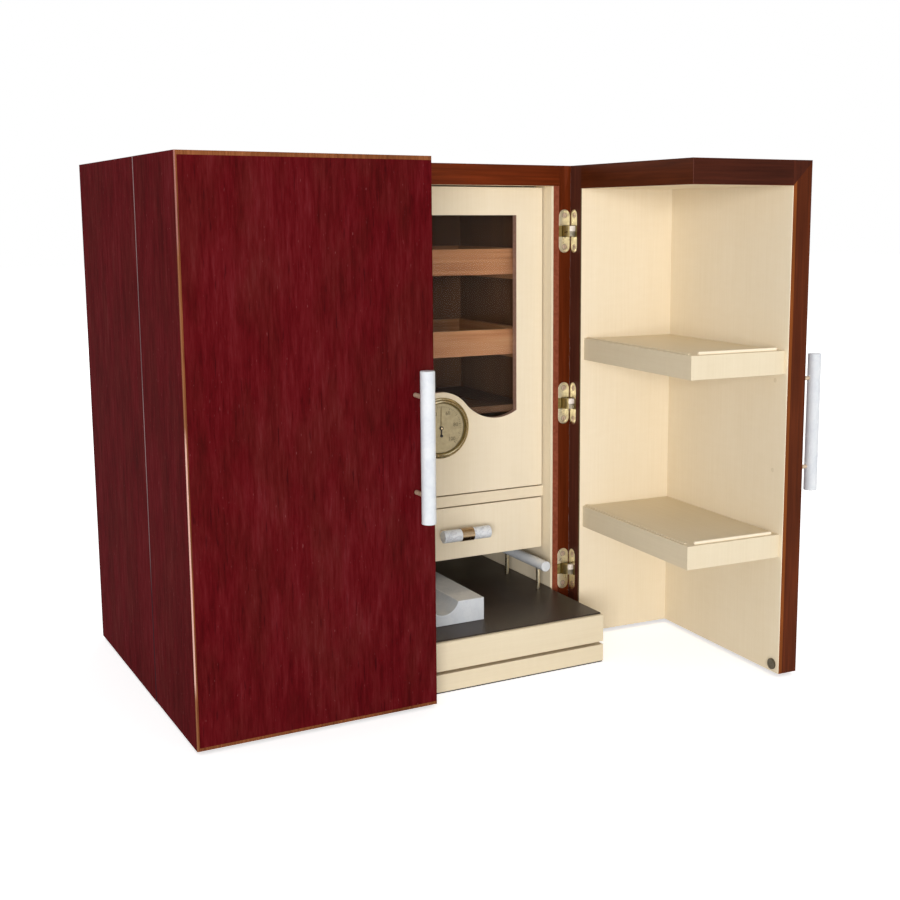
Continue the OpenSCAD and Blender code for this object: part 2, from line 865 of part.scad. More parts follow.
// the dial stands on a short pillar from the back of the case
module hygrometer_dial() {
    pillar_dia = 16;
    color([0.80, 0.74, 0.58]) difference() {
        union() {
            bar_y(dial_pos[0], dial_z, case_dia - 3.4, dial_y, dial_y + dial_t);
            bar_y(dial_pos[0], dial_z, pillar_dia, dial_y, front_setback + case_l - 1.5);
        }
        bar_y(dial_pos[0], dial_z, arbor_dia + 0.4, dial_y - 1, dial_y + 8);
    }
}

module hygrometer_needle() {
    blade_t = 0.5;
    tail = 7;
    y_high = dial_y - 0.6;
    color([0.08, 0.07, 0.07]) {
        translate([dial_pos[0], 0, dial_z]) rotate([0, needle_angle, 0])
            upright(y_high - blade_t, y_high) {
                polygon([[-1, 0], [-0.35, needle_l], [0.35, needle_l], [1, 0]]);
                polygon([[-1, 0], [-1.4, -tail], [1.4, -tail], [1, 0]]);
                circle(d = 5);
            }
        bar_y(dial_pos[0], dial_z, arbor_dia, y_high - 1.2, dial_y + 5);
    }
}

// the drawer

module drawer_front() {
    color(CREAM) block([front_x[0], front_setback, drawer_z], [front_x[1], fronts_y, drawer_top]);
}

module drawer_box() {
    low = [drawer_box_x[0], fronts_y, drawer_box_z];
    high = [drawer_box_x[1], wall_y - drawer_back, drawer_box_z + drawer_box_h];
    color(CEDAR) difference() {
        block(low, high);
        block(low + [drawer_wall, drawer_wall, drawer_floor],
            high + [-drawer_wall, -drawer_wall, 1]);
    }
}

drawer_rod = [(front_x[0] + front_x[1]) / 2, front_setback - drawer_rod_out,
    (drawer_z + drawer_top) / 2 + drawer_rod_rise];

module drawer_handle_rod() {
    color(MARBLE) bar_x(drawer_rod[1], drawer_rod[2], rod_dia, drawer_rod[0] - drawer_rod_l / 2,
        drawer_rod[0] + drawer_rod_l / 2);
}

// a band round the middle of the rod, and two posts that meet the rod face to face
module drawer_handle_brass() {
    x = drawer_rod[0];
    color(BRASS) difference() {
        union() {
            bar_x(drawer_rod[1], drawer_rod[2], rod_dia + 0.8, x - drawer_band_l / 2,
                x + drawer_band_l / 2);
            for (s = [-1, 1]) bar_y(x + s * drawer_post_pitch / 2, drawer_rod[2],
                post_dia, drawer_rod[1], front_setback);
        }
        bar_x(drawer_rod[1], drawer_rod[2], rod_dia + 2 * eps, x - drawer_rod_l,
            x + drawer_rod_l);
    }
}

carcass_side_left();
carcass_side_right();
carcass_top();
carcass_back();
lining_left();
lining_right();
lining_back();
divider();
mid_board();
drawer_deck();
wooden_runners();
cedar_lining();
cedar_floor();
cedar_tray_lower();
cedar_tray_upper();
humidifier_case();
base_board();
base_felt();
reveal_strips();
tray_board();
tray_leather();
gallery_rails();
gallery_posts();
ashtray();
carcass_hinge_plates();
carcass_hinge_screws();
catch_strikes();
left_door_front();
left_door_side();
left_door_top();
left_door_shelves();
left_shelf_lips();
left_handle_rod();
left_handle_posts();
left_hinge_plates();
left_hinge_screws();
left_magnet();
left_hinge_links();
right_door_front();
right_door_side();
right_door_top();
right_door_shelves();
right_shelf_lips();
right_handle_rod();
right_handle_posts();
right_hinge_plates();
right_hinge_screws();
right_magnet();
right_hinge_links();
humidor_frame();
humidor_glass();
humidor_pivots();
humidor_knob();
hygrometer_case();
hygrometer_dial();
hygrometer_needle();
drawer_front();
drawer_box();
drawer_handle_rod();
drawer_handle_brass();
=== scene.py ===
import json
import math

import bmesh
import bpy
from mathutils import Matrix, Vector


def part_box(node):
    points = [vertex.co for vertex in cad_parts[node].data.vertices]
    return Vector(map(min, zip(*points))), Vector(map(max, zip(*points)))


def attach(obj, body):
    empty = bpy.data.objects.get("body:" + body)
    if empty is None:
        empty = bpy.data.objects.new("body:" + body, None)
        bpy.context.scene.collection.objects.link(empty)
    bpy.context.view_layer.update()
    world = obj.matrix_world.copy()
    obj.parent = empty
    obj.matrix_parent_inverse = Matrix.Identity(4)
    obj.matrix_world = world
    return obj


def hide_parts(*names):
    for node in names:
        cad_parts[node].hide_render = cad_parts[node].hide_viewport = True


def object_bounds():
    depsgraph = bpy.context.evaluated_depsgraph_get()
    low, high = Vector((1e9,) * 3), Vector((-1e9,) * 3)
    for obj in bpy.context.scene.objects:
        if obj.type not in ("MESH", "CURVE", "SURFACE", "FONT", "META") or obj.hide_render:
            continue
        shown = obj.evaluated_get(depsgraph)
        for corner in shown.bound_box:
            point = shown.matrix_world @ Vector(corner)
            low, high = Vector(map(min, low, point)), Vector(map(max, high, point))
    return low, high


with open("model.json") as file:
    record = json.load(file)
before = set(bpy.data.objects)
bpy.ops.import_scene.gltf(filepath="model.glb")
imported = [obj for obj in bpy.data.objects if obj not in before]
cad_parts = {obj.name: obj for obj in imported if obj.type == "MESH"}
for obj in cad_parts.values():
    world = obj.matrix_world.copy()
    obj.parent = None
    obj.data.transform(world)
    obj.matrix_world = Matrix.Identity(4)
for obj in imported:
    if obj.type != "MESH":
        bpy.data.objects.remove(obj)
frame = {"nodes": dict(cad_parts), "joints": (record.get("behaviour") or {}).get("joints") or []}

CAD_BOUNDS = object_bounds()
MM = 0.001
MIRROR = Matrix.Scale(-1, 4, Vector((1, 0, 0)))

# The photograph's camera, solved from the cabinet's corners.
PICTURE_PX = 900
FOCAL_PX = 1305.3
AXIS_PX = (520.3, 419.8)
CAMERA_AT = Vector((-0.5574, -1.2961, 0.4961))
CAMERA_YAW = -29.692
CAMERA_PITCH = -8.873

# The light on a facing surface, as a share of what shows a colour as it is written.
WORLD_LEVEL = 0.62
# Each lamp's azimuth, height and distance from the cabinet's middle, its level and its size.
LAMPS = {
    "key": (CAMERA_YAW, 0.25, 5.0, 0.74, (2.2, 1.6)),
    "back": (150, 2.0, 4.5, 0.3, (2.0, 2.0)),
}
WHITE = (1, 1, 1, 1)
FLOOR_COLOUR = 0.9
FLOOR_GLOW = 0.6
FLOOR_SIZE = 12.0
FLOOR_DROP = 0.2 * MM

# How near a point counts as on a plane, as the same point, and as on a cut.
ON_PLANE = 0.00002
WELD = 0.00001
ON_CUT = 0.000001

# Widths of the strips and the rounded edges that the finish adds to the frame's shapes.
LIPPING = {"nx": 2.4 * MM, "pz": 4.0 * MM, "nz": 3.2 * MM}
INNER_STRIP = 5.0 * MM
BEVEL_W = 5.8 * MM
ARRIS = 1.2 * MM
FINE_ARRIS = 0.6 * MM
INNER_ARRIS = 0.25 * MM
SEAM_ARRIS = 2.2 * MM
TRAY_ARRIS = 2.0 * MM
CEDAR_ARRIS = 0.4 * MM
BASE_ARRIS = 0.3 * MM
LEATHER_ARRIS = 0.7 * MM
STONE_ARRIS = 0.9 * MM
# A face of the lining whose normal points this far to the front belongs to its bevel.
BEVEL_FACING = -0.3
# How far carcass and doors reach into the seam between them, and the felt out of the base.
SEAM_REACH = 0.49 * MM
FELT_OUT = 2.4 * MM

# The beads on the shelves: width, height, height of the low one, bare ends, share rounded.
LIP_W = 3.2 * MM
LIP_H = 3.4 * MM
LOW_LIP = 1.2 * MM
LIP_END = 8.0 * MM
LIP_ROUND = 0.3
# The plugs over the screws of the door handles: their radius, and half of their thickness.
PLUG_R = 2.4 * MM
PLUG_T = 0.2 * MM
# The rounding of a marble rod's ends, and where in the rod its posts end: the share of the
# radius that the door handles' posts stop at, and how far the gallery's posts go in.
ROD_EDGE = 0.9 * MM
POST_END = 0.93
RAIL_HOLD = 0.2 * MM

# A face that looks along the grain by more than this shows end grain.
END_GRAIN = 0.7

# The room above and below each hinge link in its plates, and how deep its ribs are cut.
LINK_ROOM = 0.4 * MM
RIB_DEPTH = 0.5 * MM
# Angles on a hinge link in degrees: its part painted darker as shade, the steps of its arc, a rib
# and as much for the groove before it, and the least room for another pair of them.
LINK_DARK = 70
LINK_STEP = 4
RIB_TURN = 3
RIB_LEAST = 1
# A screw in shares of its head's radius: the cross, the ring round it, the underside and the
# stem. The stem's tip is tapered over a length of its own, to a share of the stem's width.
CROSS_ARM = 0.66
CROSS_HALF = 0.17
CROSS_DEPTH = 0.35
CROSS_RING = 0.84
HEAD_UNDER = 0.5
STEM_TOP = 0.52
STEM_R = 0.42
TIP_L = 2 * MM
TIP_R = 0.6

# The hygrometer's scale: its sweep in degrees, and how thick its print is.
SCALE_SWEEP = 270
PRINT_T = 0.06 * MM
# Where the marks start and end, how wide they are, and where and how tall the numbers are.
MARK_FROM, LONG_MARK_FROM, MARK_TO = 23.8 * MM, 22.6 * MM, 25.4 * MM
MARK_W, LONG_MARK_W = 0.28 * MM, 0.55 * MM
NUMBER_AT, NUMBER_H = 18.6 * MM, 6.2 * MM
NEEDLE_TAIL = 8.8 * MM

# The Mix node's colour sockets share their names with others, so they go by their place.
MIX_FIRST, MIX_SECOND, MIX_RESULT = 6, 7, 2


def add_object(name, data):
    made = bpy.data.objects.new(name, data)
    bpy.context.scene.collection.objects.link(made)
    return made


def mesh_of(bm, name):
    """The mesh of a bmesh, which ends with this."""
    mesh = bpy.data.meshes.new(name)
    bm.to_mesh(mesh)
    bm.free()
    return mesh


def rotation(degrees, axis):
    return Matrix.Rotation(math.radians(degrees), 4, axis)


def looking_along(at, axis):
    """A place whose origin is at a point and whose Z axis runs along the axis."""
    turn = Vector(axis).to_track_quat("Z", "Y").to_matrix().to_4x4()
    return Matrix.Translation(Vector(at)) @ turn


def joint(name):
    return next(j for j in frame["joints"] if j["name"] == name)


def swing_to_right():
    """Carries a piece of the closed left door to the right door where it stands open."""
    hinge = joint("right_door_hinge")
    at = Matrix.Translation(Vector(hinge["pos_m"]))
    return at @ rotation(-hinge["range_deg"][0], "Z") @ at.inverted() @ MIRROR


SIDES = {"left": Matrix.Identity(4), "right": swing_to_right()}


def make_camera():
    data = bpy.data.cameras.new("photo_camera")
    camera = add_object("photo_camera", data)
    data.lens = FOCAL_PX / PICTURE_PX * data.sensor_width
    data.shift_x = (PICTURE_PX / 2 - AXIS_PX[0]) / PICTURE_PX
    data.shift_y = (AXIS_PX[1] - PICTURE_PX / 2) / PICTURE_PX
    turn = rotation(CAMERA_YAW, "Z") @ rotation(90 + CAMERA_PITCH, "X")
    camera.matrix_world = Matrix.Translation(CAMERA_AT) @ turn
    bpy.context.scene.camera = camera


def area_light(name, azimuth, height, distance, level, size):
    """A lamp that lights a facing surface at the given share of its own colour."""
    data = bpy.data.lights.new(name, "AREA")
    data.shape = "RECTANGLE"
    data.size, data.size_y = size
    data.energy = level * (math.pi * distance) ** 2
    lamp = add_object(name, data)
    lamp.visible_glossy = False
    target = (CAD_BOUNDS[0] + CAD_BOUNDS[1]) / 2
    turn = math.radians(azimuth)
    away = Vector((distance * math.sin(turn), -distance * math.cos(turn), height))
    lamp.matrix_world = looking_along(target + away, away)


def shade(colour, level):
    return tuple(c * level for c in colour)


class Finish:
    """A material on Principled BSDF, with short calls for the nodes that the finishes share."""

    made = []

    def __init__(self, name, roughness, specular=0.5, **sockets):
        self.material = bpy.data.materials.new(name)
        self.material.use_nodes = True
        self.tree = self.material.node_tree
        self.shader = self.tree.nodes["Principled BSDF"]
        self.set(Roughness=roughness, Specular_IOR_Level=specular)
        for socket, value in sockets.items():
            self.shader.inputs[socket.replace("_", " ")].default_value = value
        self.index = len(Finish.made)
        Finish.made.append(self)

    def set(self, **sockets):
        for name, value in sockets.items():
            self.put(self.shader.inputs[name.replace("_", " ")], value)

    def put(self, socket, value):
        if isinstance(value, bpy.types.NodeSocket):
            self.tree.links.new(value, socket)
        elif isinstance(value, tuple) and len(value) == 3 and socket.type == "RGBA":
            socket.default_value = (*value, 1)
        else:
            socket.default_value = value

    def node(self, kind, inputs, output=0, **settings):
        made = self.tree.nodes.new("ShaderNode" + kind)
        for name, value in settings.items():
            setattr(made, name, value)
        for key, value in inputs.items():
            self.put(made.inputs[key], value)
        return made.outputs[output]

    def along_grain(self, stretch):
        """Coordinates in metres whose third axis runs along the grain, squeezed by stretch."""
        own = self.node("Attribute", {}, output="Vector", attribute_name="grain")
        return self.node("VectorMath", {0: own, 1: (1, 1, stretch)}, operation="MULTIPLY")

    def in_space(self):
        return self.node("TexCoord", {}, output="Object")

    def height(self):
        """The height above the floor in metres."""
        return self.node("SeparateXYZ", {0: self.in_space()}, output="Z")

    def noise(self, at, scale, detail=2.0, roughness=0.5, distortion=0.0):
        return self.node("TexNoise", {"Vector": at, "Scale": scale, "Detail": detail,
            "Roughness": roughness, "Distortion": distortion})

    def figure(self, stretch, *noise):
        """Noise that is drawn out along the grain, the more the smaller stretch is."""
        return self.noise(self.along_grain(stretch), *noise)

    def spread(self, value, low, high, to_low=0.0, to_high=1.0):
        return self.node("MapRange", {"Value": value, "From Min": low, "From Max": high,
            "To Min": to_low, "To Max": to_high})

    def math(self, how, a, b):
        return self.node("Math", {0: a, 1: b}, operation=how)

    def blend(self, *parts):
        """The sum of values that are each multiplied by their share."""
        total = None
        for value, share in parts:
            part = self.math("MULTIPLY", value, share)
            total = part if total is None else self.math("ADD", total, part)
        return total

    def mix(self, share, first, second, how="MIX"):
        return self.node("Mix", {0: share, MIX_FIRST: first, MIX_SECOND: second},
            output=MIX_RESULT, data_type="RGBA", blend_type=how)

    def ramp(self, value, stops):
        made = self.tree.nodes.new("ShaderNodeValToRGB")
        self.put(made.inputs[0], value)
        elements = made.color_ramp.elements
        while len(elements) < len(stops):
            elements.new(0.5)
        for element, (place, colour) in zip(elements, stops):
            element.position = place
            element.color = (*colour, 1)
        return made.outputs[0]

    def bump(self, height, distance, strength=1.0):
        self.set(Normal=self.node("Bump", {"Height": height, "Distance": distance,
            "Strength": strength}))


def purpleheart_veneer():
    """Dark red veneer with short upright streaks under clear lacquer."""
    f = Finish("purpleheart_veneer", 0.42, specular=0.0, Coat_Weight=0.02, Coat_Roughness=0.2)
    streak = f.figure(0.12, 260, 4, 0.68, 0.2)
    fibre = f.figure(0.05, 900, 2, 0.6)
    band = f.figure(0.3, 48, 3, 0.55)
    cloud = f.figure(0.7, 11, 3)
    tone = f.blend((streak, 0.64), (band, 0.36), (f.math("SUBTRACT", fibre, 0.5), 0.22),
        (f.math("SUBTRACT", cloud, 0.5), 0.22))
    red = f.ramp(tone, [(0.32, (0.058, 0.0024, 0.0034)), (0.46, (0.090, 0.0038, 0.0056)),
        (0.58, (0.111, 0.0072, 0.0094)), (0.74, (0.138, 0.0165, 0.0205))])
    brown = f.ramp(tone, [(0.32, (0.052, 0.0036, 0.0036)), (0.46, (0.079, 0.0052, 0.0056)),
        (0.58, (0.098, 0.0088, 0.0088)), (0.74, (0.122, 0.0180, 0.0180))])
    patch = f.spread(f.figure(0.35, 26, 3, 0.6), 0.42, 0.60)
    colour = f.mix(patch, red, brown)
    # Pale flecks in the pores, painted as the glints of light they catch.
    pore_glint = f.spread(f.figure(0.3, 560, 1, 0.4), 0.73, 0.81)
    colour = f.mix(f.math("MULTIPLY", pore_glint, 0.45), colour, (0.26, 0.070, 0.072))
    dark = f.spread(f.figure(0.10, 420, 1, 0.4), 0.32, 0.24)
    colour = f.mix(f.math("MULTIPLY", dark, 0.5), colour, (0.022, 0.0020, 0.0030))
    f.set(Base_Color=colour, Roughness=f.spread(streak, 0.3, 0.7, 0.36, 0.48))
    f.bump(fibre, 0.00004, 0.6)
    return f


def mahogany(name, colour):
    """Red-brown solid edges, polished."""
    f = Finish(name, 0.3, specular=0.04, Coat_Weight=0.02, Coat_Roughness=0.08)
    streak = f.figure(0.04, 330, 4, 0.6)
    cloud = f.figure(0.3, 22, 2)
    tone = f.blend((streak, 0.6), (cloud, 0.4))
    f.set(Base_Color=f.ramp(tone, [(0.32, shade(colour, 0.62)), (0.52, colour),
        (0.70, shade(colour, 1.5))]))
    f.bump(streak, 0.00003, 0.5)
    return f


def lipping():
    """The orange-brown strip that frames the outer faces."""
    f = Finish("lipping", 0.3, specular=0.0, Coat_Weight=0.03, Coat_Roughness=0.1)
    streak = f.figure(0.05, 500, 3, 0.6)
    cloud = f.figure(1.0, 14, 2)
    tone = f.blend((streak, 0.45), (cloud, 0.55))
    f.set(Base_Color=f.ramp(tone, [(0.34, (0.100, 0.028, 0.010)),
        (0.52, (0.205, 0.066, 0.022)), (0.68, (0.320, 0.115, 0.045))]))
    return f


def worn_arris():
    """The rounded corner of a front, painted with a pale highlight over its lower half and a pinkish
    highlight at the top, brown at the foot and between.
    """
    f = Finish("worn_arris", 0.3, specular=0.0, Coat_Weight=0.06, Coat_Roughness=0.15)
    # pale and mauve are painted highlights; brown is the arris's own colour.
    brown, pale, mauve = (0.240, 0.095, 0.040), (0.640, 0.370, 0.300), (0.320, 0.130, 0.105)
    cloud = f.figure(0.8, 11, 2)
    place = f.math("ADD", f.height(), f.spread(cloud, 0.3, 0.7, -0.01, 0.01))
    f.set(Base_Color=f.ramp(f.spread(place, 0.0, 0.55), [(0.08, brown), (0.11, pale),
        (0.51, pale), (0.55, brown), (0.84, brown), (0.88, mauve)]))
    return f


def bare_edge():
    """The rounded edge at the seam, painted greyish as the highlight it catches, darker towards the
    floor.
    """
    f = Finish("seam_painted_highlight", 0.4, specular=0.0)
    cloud = f.figure(0.3, 14, 3)
    tone = f.math("ADD", cloud, f.spread(f.height(), 0.10, 0.20, -0.2, 0.07))
    f.set(Base_Color=f.ramp(tone, [(0.36, (0.030, 0.018, 0.022)), (0.60, (0.250, 0.165, 0.165))]))
    return f


def sycamore(name, light, dark):
    """Pale veneer with a faint figure."""
    f = Finish(name, 0.4, specular=0.2)
    line = f.figure(0.03, 420, 3, 0.6)
    cloud = f.figure(0.25, 12, 3)
    ripple = f.figure(4.0, 45, 2)
    tone = f.blend((line, 0.35), (cloud, 0.5), (ripple, 0.15))
    f.set(Base_Color=f.ramp(tone, [(0.30, dark), (0.66, light)]))
    f.bump(line, 0.00001, 0.5)
    return f


def cedar(name, level):
    """Bare red-brown cedar with growth lines."""
    f = Finish(name, 0.62, specular=0.2)
    line = f.figure(0.02, 260, 4, 0.6, 0.4)
    cloud = f.figure(0.2, 30, 2)
    tone = f.blend((line, 0.6), (cloud, 0.4))
    stops = [(0.32, (0.270, 0.098, 0.040)), (0.5, (0.400, 0.165, 0.073)),
        (0.7, (0.520, 0.255, 0.130))]
    f.set(Base_Color=f.ramp(tone, [(at, shade(colour, level)) for at, colour in stops]))
    f.bump(line, 0.00006, 0.7)
    return f


def marble(name, level, veins, scale=34):
    """White marble with soft grey clouds and thin veins."""
    f = Finish(name, 0.16, specular=0.4)
    place = f.in_space()
    warp = f.node("TexNoise", {"Vector": place, "Scale": 28.0, "Detail": 3.0}, output="Color")
    bent = f.mix(3.4 / scale, place, warp, "LINEAR_LIGHT")
    cloud = f.noise(bent, 0.76 * scale, 4, 0.6)
    middle = f.math("SUBTRACT", f.noise(bent, scale, 5, 0.62), 0.5)
    vein = f.spread(f.math("ABSOLUTE", middle, 0), 0.0, 0.035, 1.0, 0.0)
    stops = [(0.30, (0.72, 0.75, 0.80)), (0.48, (0.79, 0.82, 0.85)), (0.66, (0.84, 0.86, 0.88))]
    colour = f.ramp(cloud, [(at, shade(colour, level)) for at, colour in stops])
    f.set(Base_Color=f.mix(f.math("MULTIPLY", vein, veins), colour, (0.36, 0.36, 0.42)))
    return f


def brass(name="brass", colour=(0.80, 0.62, 0.37), roughness=0.17):
    f = Finish(name, roughness, Metallic=1.0)
    smudge = f.noise(f.in_space(), 240, 3)
    scratch = f.noise(f.in_space(), 2600, 2)
    f.set(Base_Color=f.mix(f.spread(smudge, 0.35, 0.7), colour, shade(colour, 0.82)),
        Roughness=f.spread(smudge, 0.3, 0.7, roughness * 0.75, roughness * 1.5))
    f.bump(scratch, 0.00001, 0.4)
    return f


def leather():
    f = Finish("leather", 0.42, specular=0.24)
    place = f.in_space()
    pebble = f.node("TexVoronoi", {"Vector": place, "Scale": 1400.0}, feature="SMOOTH_F1")
    cloud = f.noise(place, 16, 3)
    f.set(Base_Color=f.ramp(cloud, [(0.35, (0.025, 0.0165, 0.0125)), (0.65, (0.046, 0.031, 0.024))]),
        Roughness=f.spread(cloud, 0.3, 0.7, 0.30, 0.42))
    f.bump(pebble, 0.00007, 0.8)
    return f


def felt():
    f = Finish("felt", 0.95, Sheen_Weight=0.3)
    fibre = f.noise(f.in_space(), 1800, 3, 0.7)
    f.set(Base_Color=f.ramp(fibre, [(0.3, (0.010, 0.008, 0.007)), (0.7, (0.028, 0.021, 0.018))]))
    f.bump(fibre, 0.0003, 0.7)
    return f


def plain(name, low, high, roughness, metallic=0.0, scale=300, grain=0.00002, **sockets):
    """A simple finish whose tone wanders between two near colours."""
    f = Finish(name, roughness, Metallic=metallic, **sockets)
    cloud = f.noise(f.in_space(), scale, 3)
    f.set(Base_Color=f.ramp(cloud, [(0.3, low), (0.7, high)]))
    f.bump(f.noise(f.in_space(), scale * 8, 2), grain, 0.5)
    return f


def clear_glass():
    """Clear glass that lets the light through without a dark shadow."""
    f = Finish("pane", 0.02, IOR=1.12, Transmission_Weight=1.0)
    smear = f.noise(f.in_space(), 40, 3)
    f.set(Base_Color=(0.96, 0.985, 0.975), Roughness=f.spread(smear, 0.4, 0.8, 0.0, 0.03))
    clear = f.node("BsdfTransparent", {"Color": (0.93, 0.96, 0.95)})
    shadow = f.node("LightPath", {}, output="Is Shadow Ray")
    mixed = f.node("MixShader", {0: shadow, 1: f.shader.outputs[0], 2: clear})
    f.tree.links.new(mixed, f.tree.nodes["Material Output"].inputs["Surface"])
    return f


VENEER = purpleheart_veneer()
EDGE = mahogany("mahogany_edge", (0.120, 0.0198, 0.0045))
FRONT_EDGE = mahogany("mahogany_front", (0.087, 0.0178, 0.0050))
DARK_EDGE = mahogany("mahogany_dark", (0.056, 0.0125, 0.0058))
ORANGE_EDGE = mahogany("mahogany_orange", (0.205, 0.0530, 0.0105))
MAUVE_EDGE = mahogany("mahogany_mauve", (0.086, 0.0235, 0.0140))
STRIP = lipping()
ARRIS_HIGHLIGHT = worn_arris()
SEAM_HIGHLIGHT = bare_edge()
CREAM = sycamore("sycamore", (0.880, 0.770, 0.590), (0.815, 0.695, 0.500))
# A lighter copy of the sycamore, painted highlight on the shelves' tall beads.
LIP_HIGHLIGHT_CREAM = sycamore("sycamore_lip_highlight", (0.940, 0.830, 0.650), (0.880, 0.760, 0.560))
# A darker copy of the sycamore, used as painted shade on the shelves, the low beads, the lining's
# bevel and the boards at the foot.
DARKER_CREAM = sycamore("sycamore_darker", (0.775, 0.670, 0.490), (0.710, 0.600, 0.420))
BEVEL = plain("bevel_strip", (0.185, 0.043, 0.020), (0.260, 0.066, 0.033), 0.4,
    specular=0.05)
OLIVE_EDGE = plain("olive_edge", (0.080, 0.050, 0.022), (0.130, 0.085, 0.042), 0.4,
    specular=0.1)
# A dark olive painted as the shade in recesses: the hinge pockets, round the links' slots and in the
# hygrometer's bezel.
RECESS_SHADE = plain("painted_recess_shade", (0.170, 0.118, 0.028), (0.340, 0.250, 0.080), 0.4, 0.5)
CEDAR = cedar("cedar", 0.72)
# The same cedar darkened, painted with the shade deep inside the humidor.
CEDAR_IN_PAINTED_SHADE = cedar("cedar_lining", 0.2)
MARBLE = marble("marble", 0.87, 0.05)
VEINED_MARBLE = marble("veined_marble", 0.92, 0.55, 70)
# A darker copy of the marble, painted with the shade the ashtray sits in under the drawer.
ASH_MARBLE_SHADED = marble("ashtray_marble_shaded", 0.76, 0.12)
BRASS = brass()
PLATE_BRASS = brass("plate_brass", (0.99, 0.89, 0.64), 0.3)
SCREW_BRASS = brass("screw_brass", (0.90, 0.74, 0.62), 0.4)
# Brass darkened as painted shade, for the part of each link inside the carcass.
LINK_SHADE = brass("link_painted_shade", (0.58, 0.44, 0.19), 0.35)
LINK_METAL = plain("link_metal", (0.80, 0.70, 0.60), (0.92, 0.82, 0.72), 0.35, 0.3)
POST_BRASS = plain("post_brass", (0.48, 0.36, 0.23), (0.76, 0.59, 0.43), 0.3, 0.3)
# The drawer handle's band: brass darkened, with the dark reflection across its top painted into its
# colour.
HANDLE_BRASS = brass("handle_brass", (0.42, 0.30, 0.18), 0.2)
BEZEL = brass("bezel_brass", (0.66, 0.57, 0.38), 0.2)
RIBBED_METAL = brass("ribbed_metal", (0.50, 0.44, 0.33), 0.4)
LEATHER = leather()
FELT = felt()
REVEAL = plain("window_reveal", (0.34, 0.18, 0.13), (0.46, 0.27, 0.20), 0.35)
SHADOW_WOOD = plain("shadow_gap", (0.20, 0.12, 0.055), (0.27, 0.17, 0.085), 0.6)
MAGNET = plain("magnet", (0.075, 0.060, 0.038), (0.125, 0.105, 0.070), 0.45, 0.5)
STEEL = plain("steel", (0.36, 0.36, 0.37), (0.50, 0.50, 0.51), 0.3, 1.0)
DIAL = plain("dial", (0.34, 0.275, 0.155), (0.43, 0.350, 0.205), 0.36, 0.5)
INK = plain("ink", (0.012, 0.010, 0.008), (0.03, 0.025, 0.02), 0.5)
NEEDLE_BRASS = brass("needle_brass", (0.34, 0.27, 0.15), 0.35)
PRINT = plain("dial_print", (0.070, 0.052, 0.022), (0.105, 0.080, 0.036), 0.5)
BLACK_PLASTIC = plain("black_plastic", (0.018, 0.018, 0.02), (0.03, 0.03, 0.032), 0.55)
GLASS = clear_glass()

FACE_NAMES = {"nx": (0, 0), "px": (0, 1), "ny": (1, 0), "py": (1, 1), "nz": (2, 0), "pz": (2, 1)}


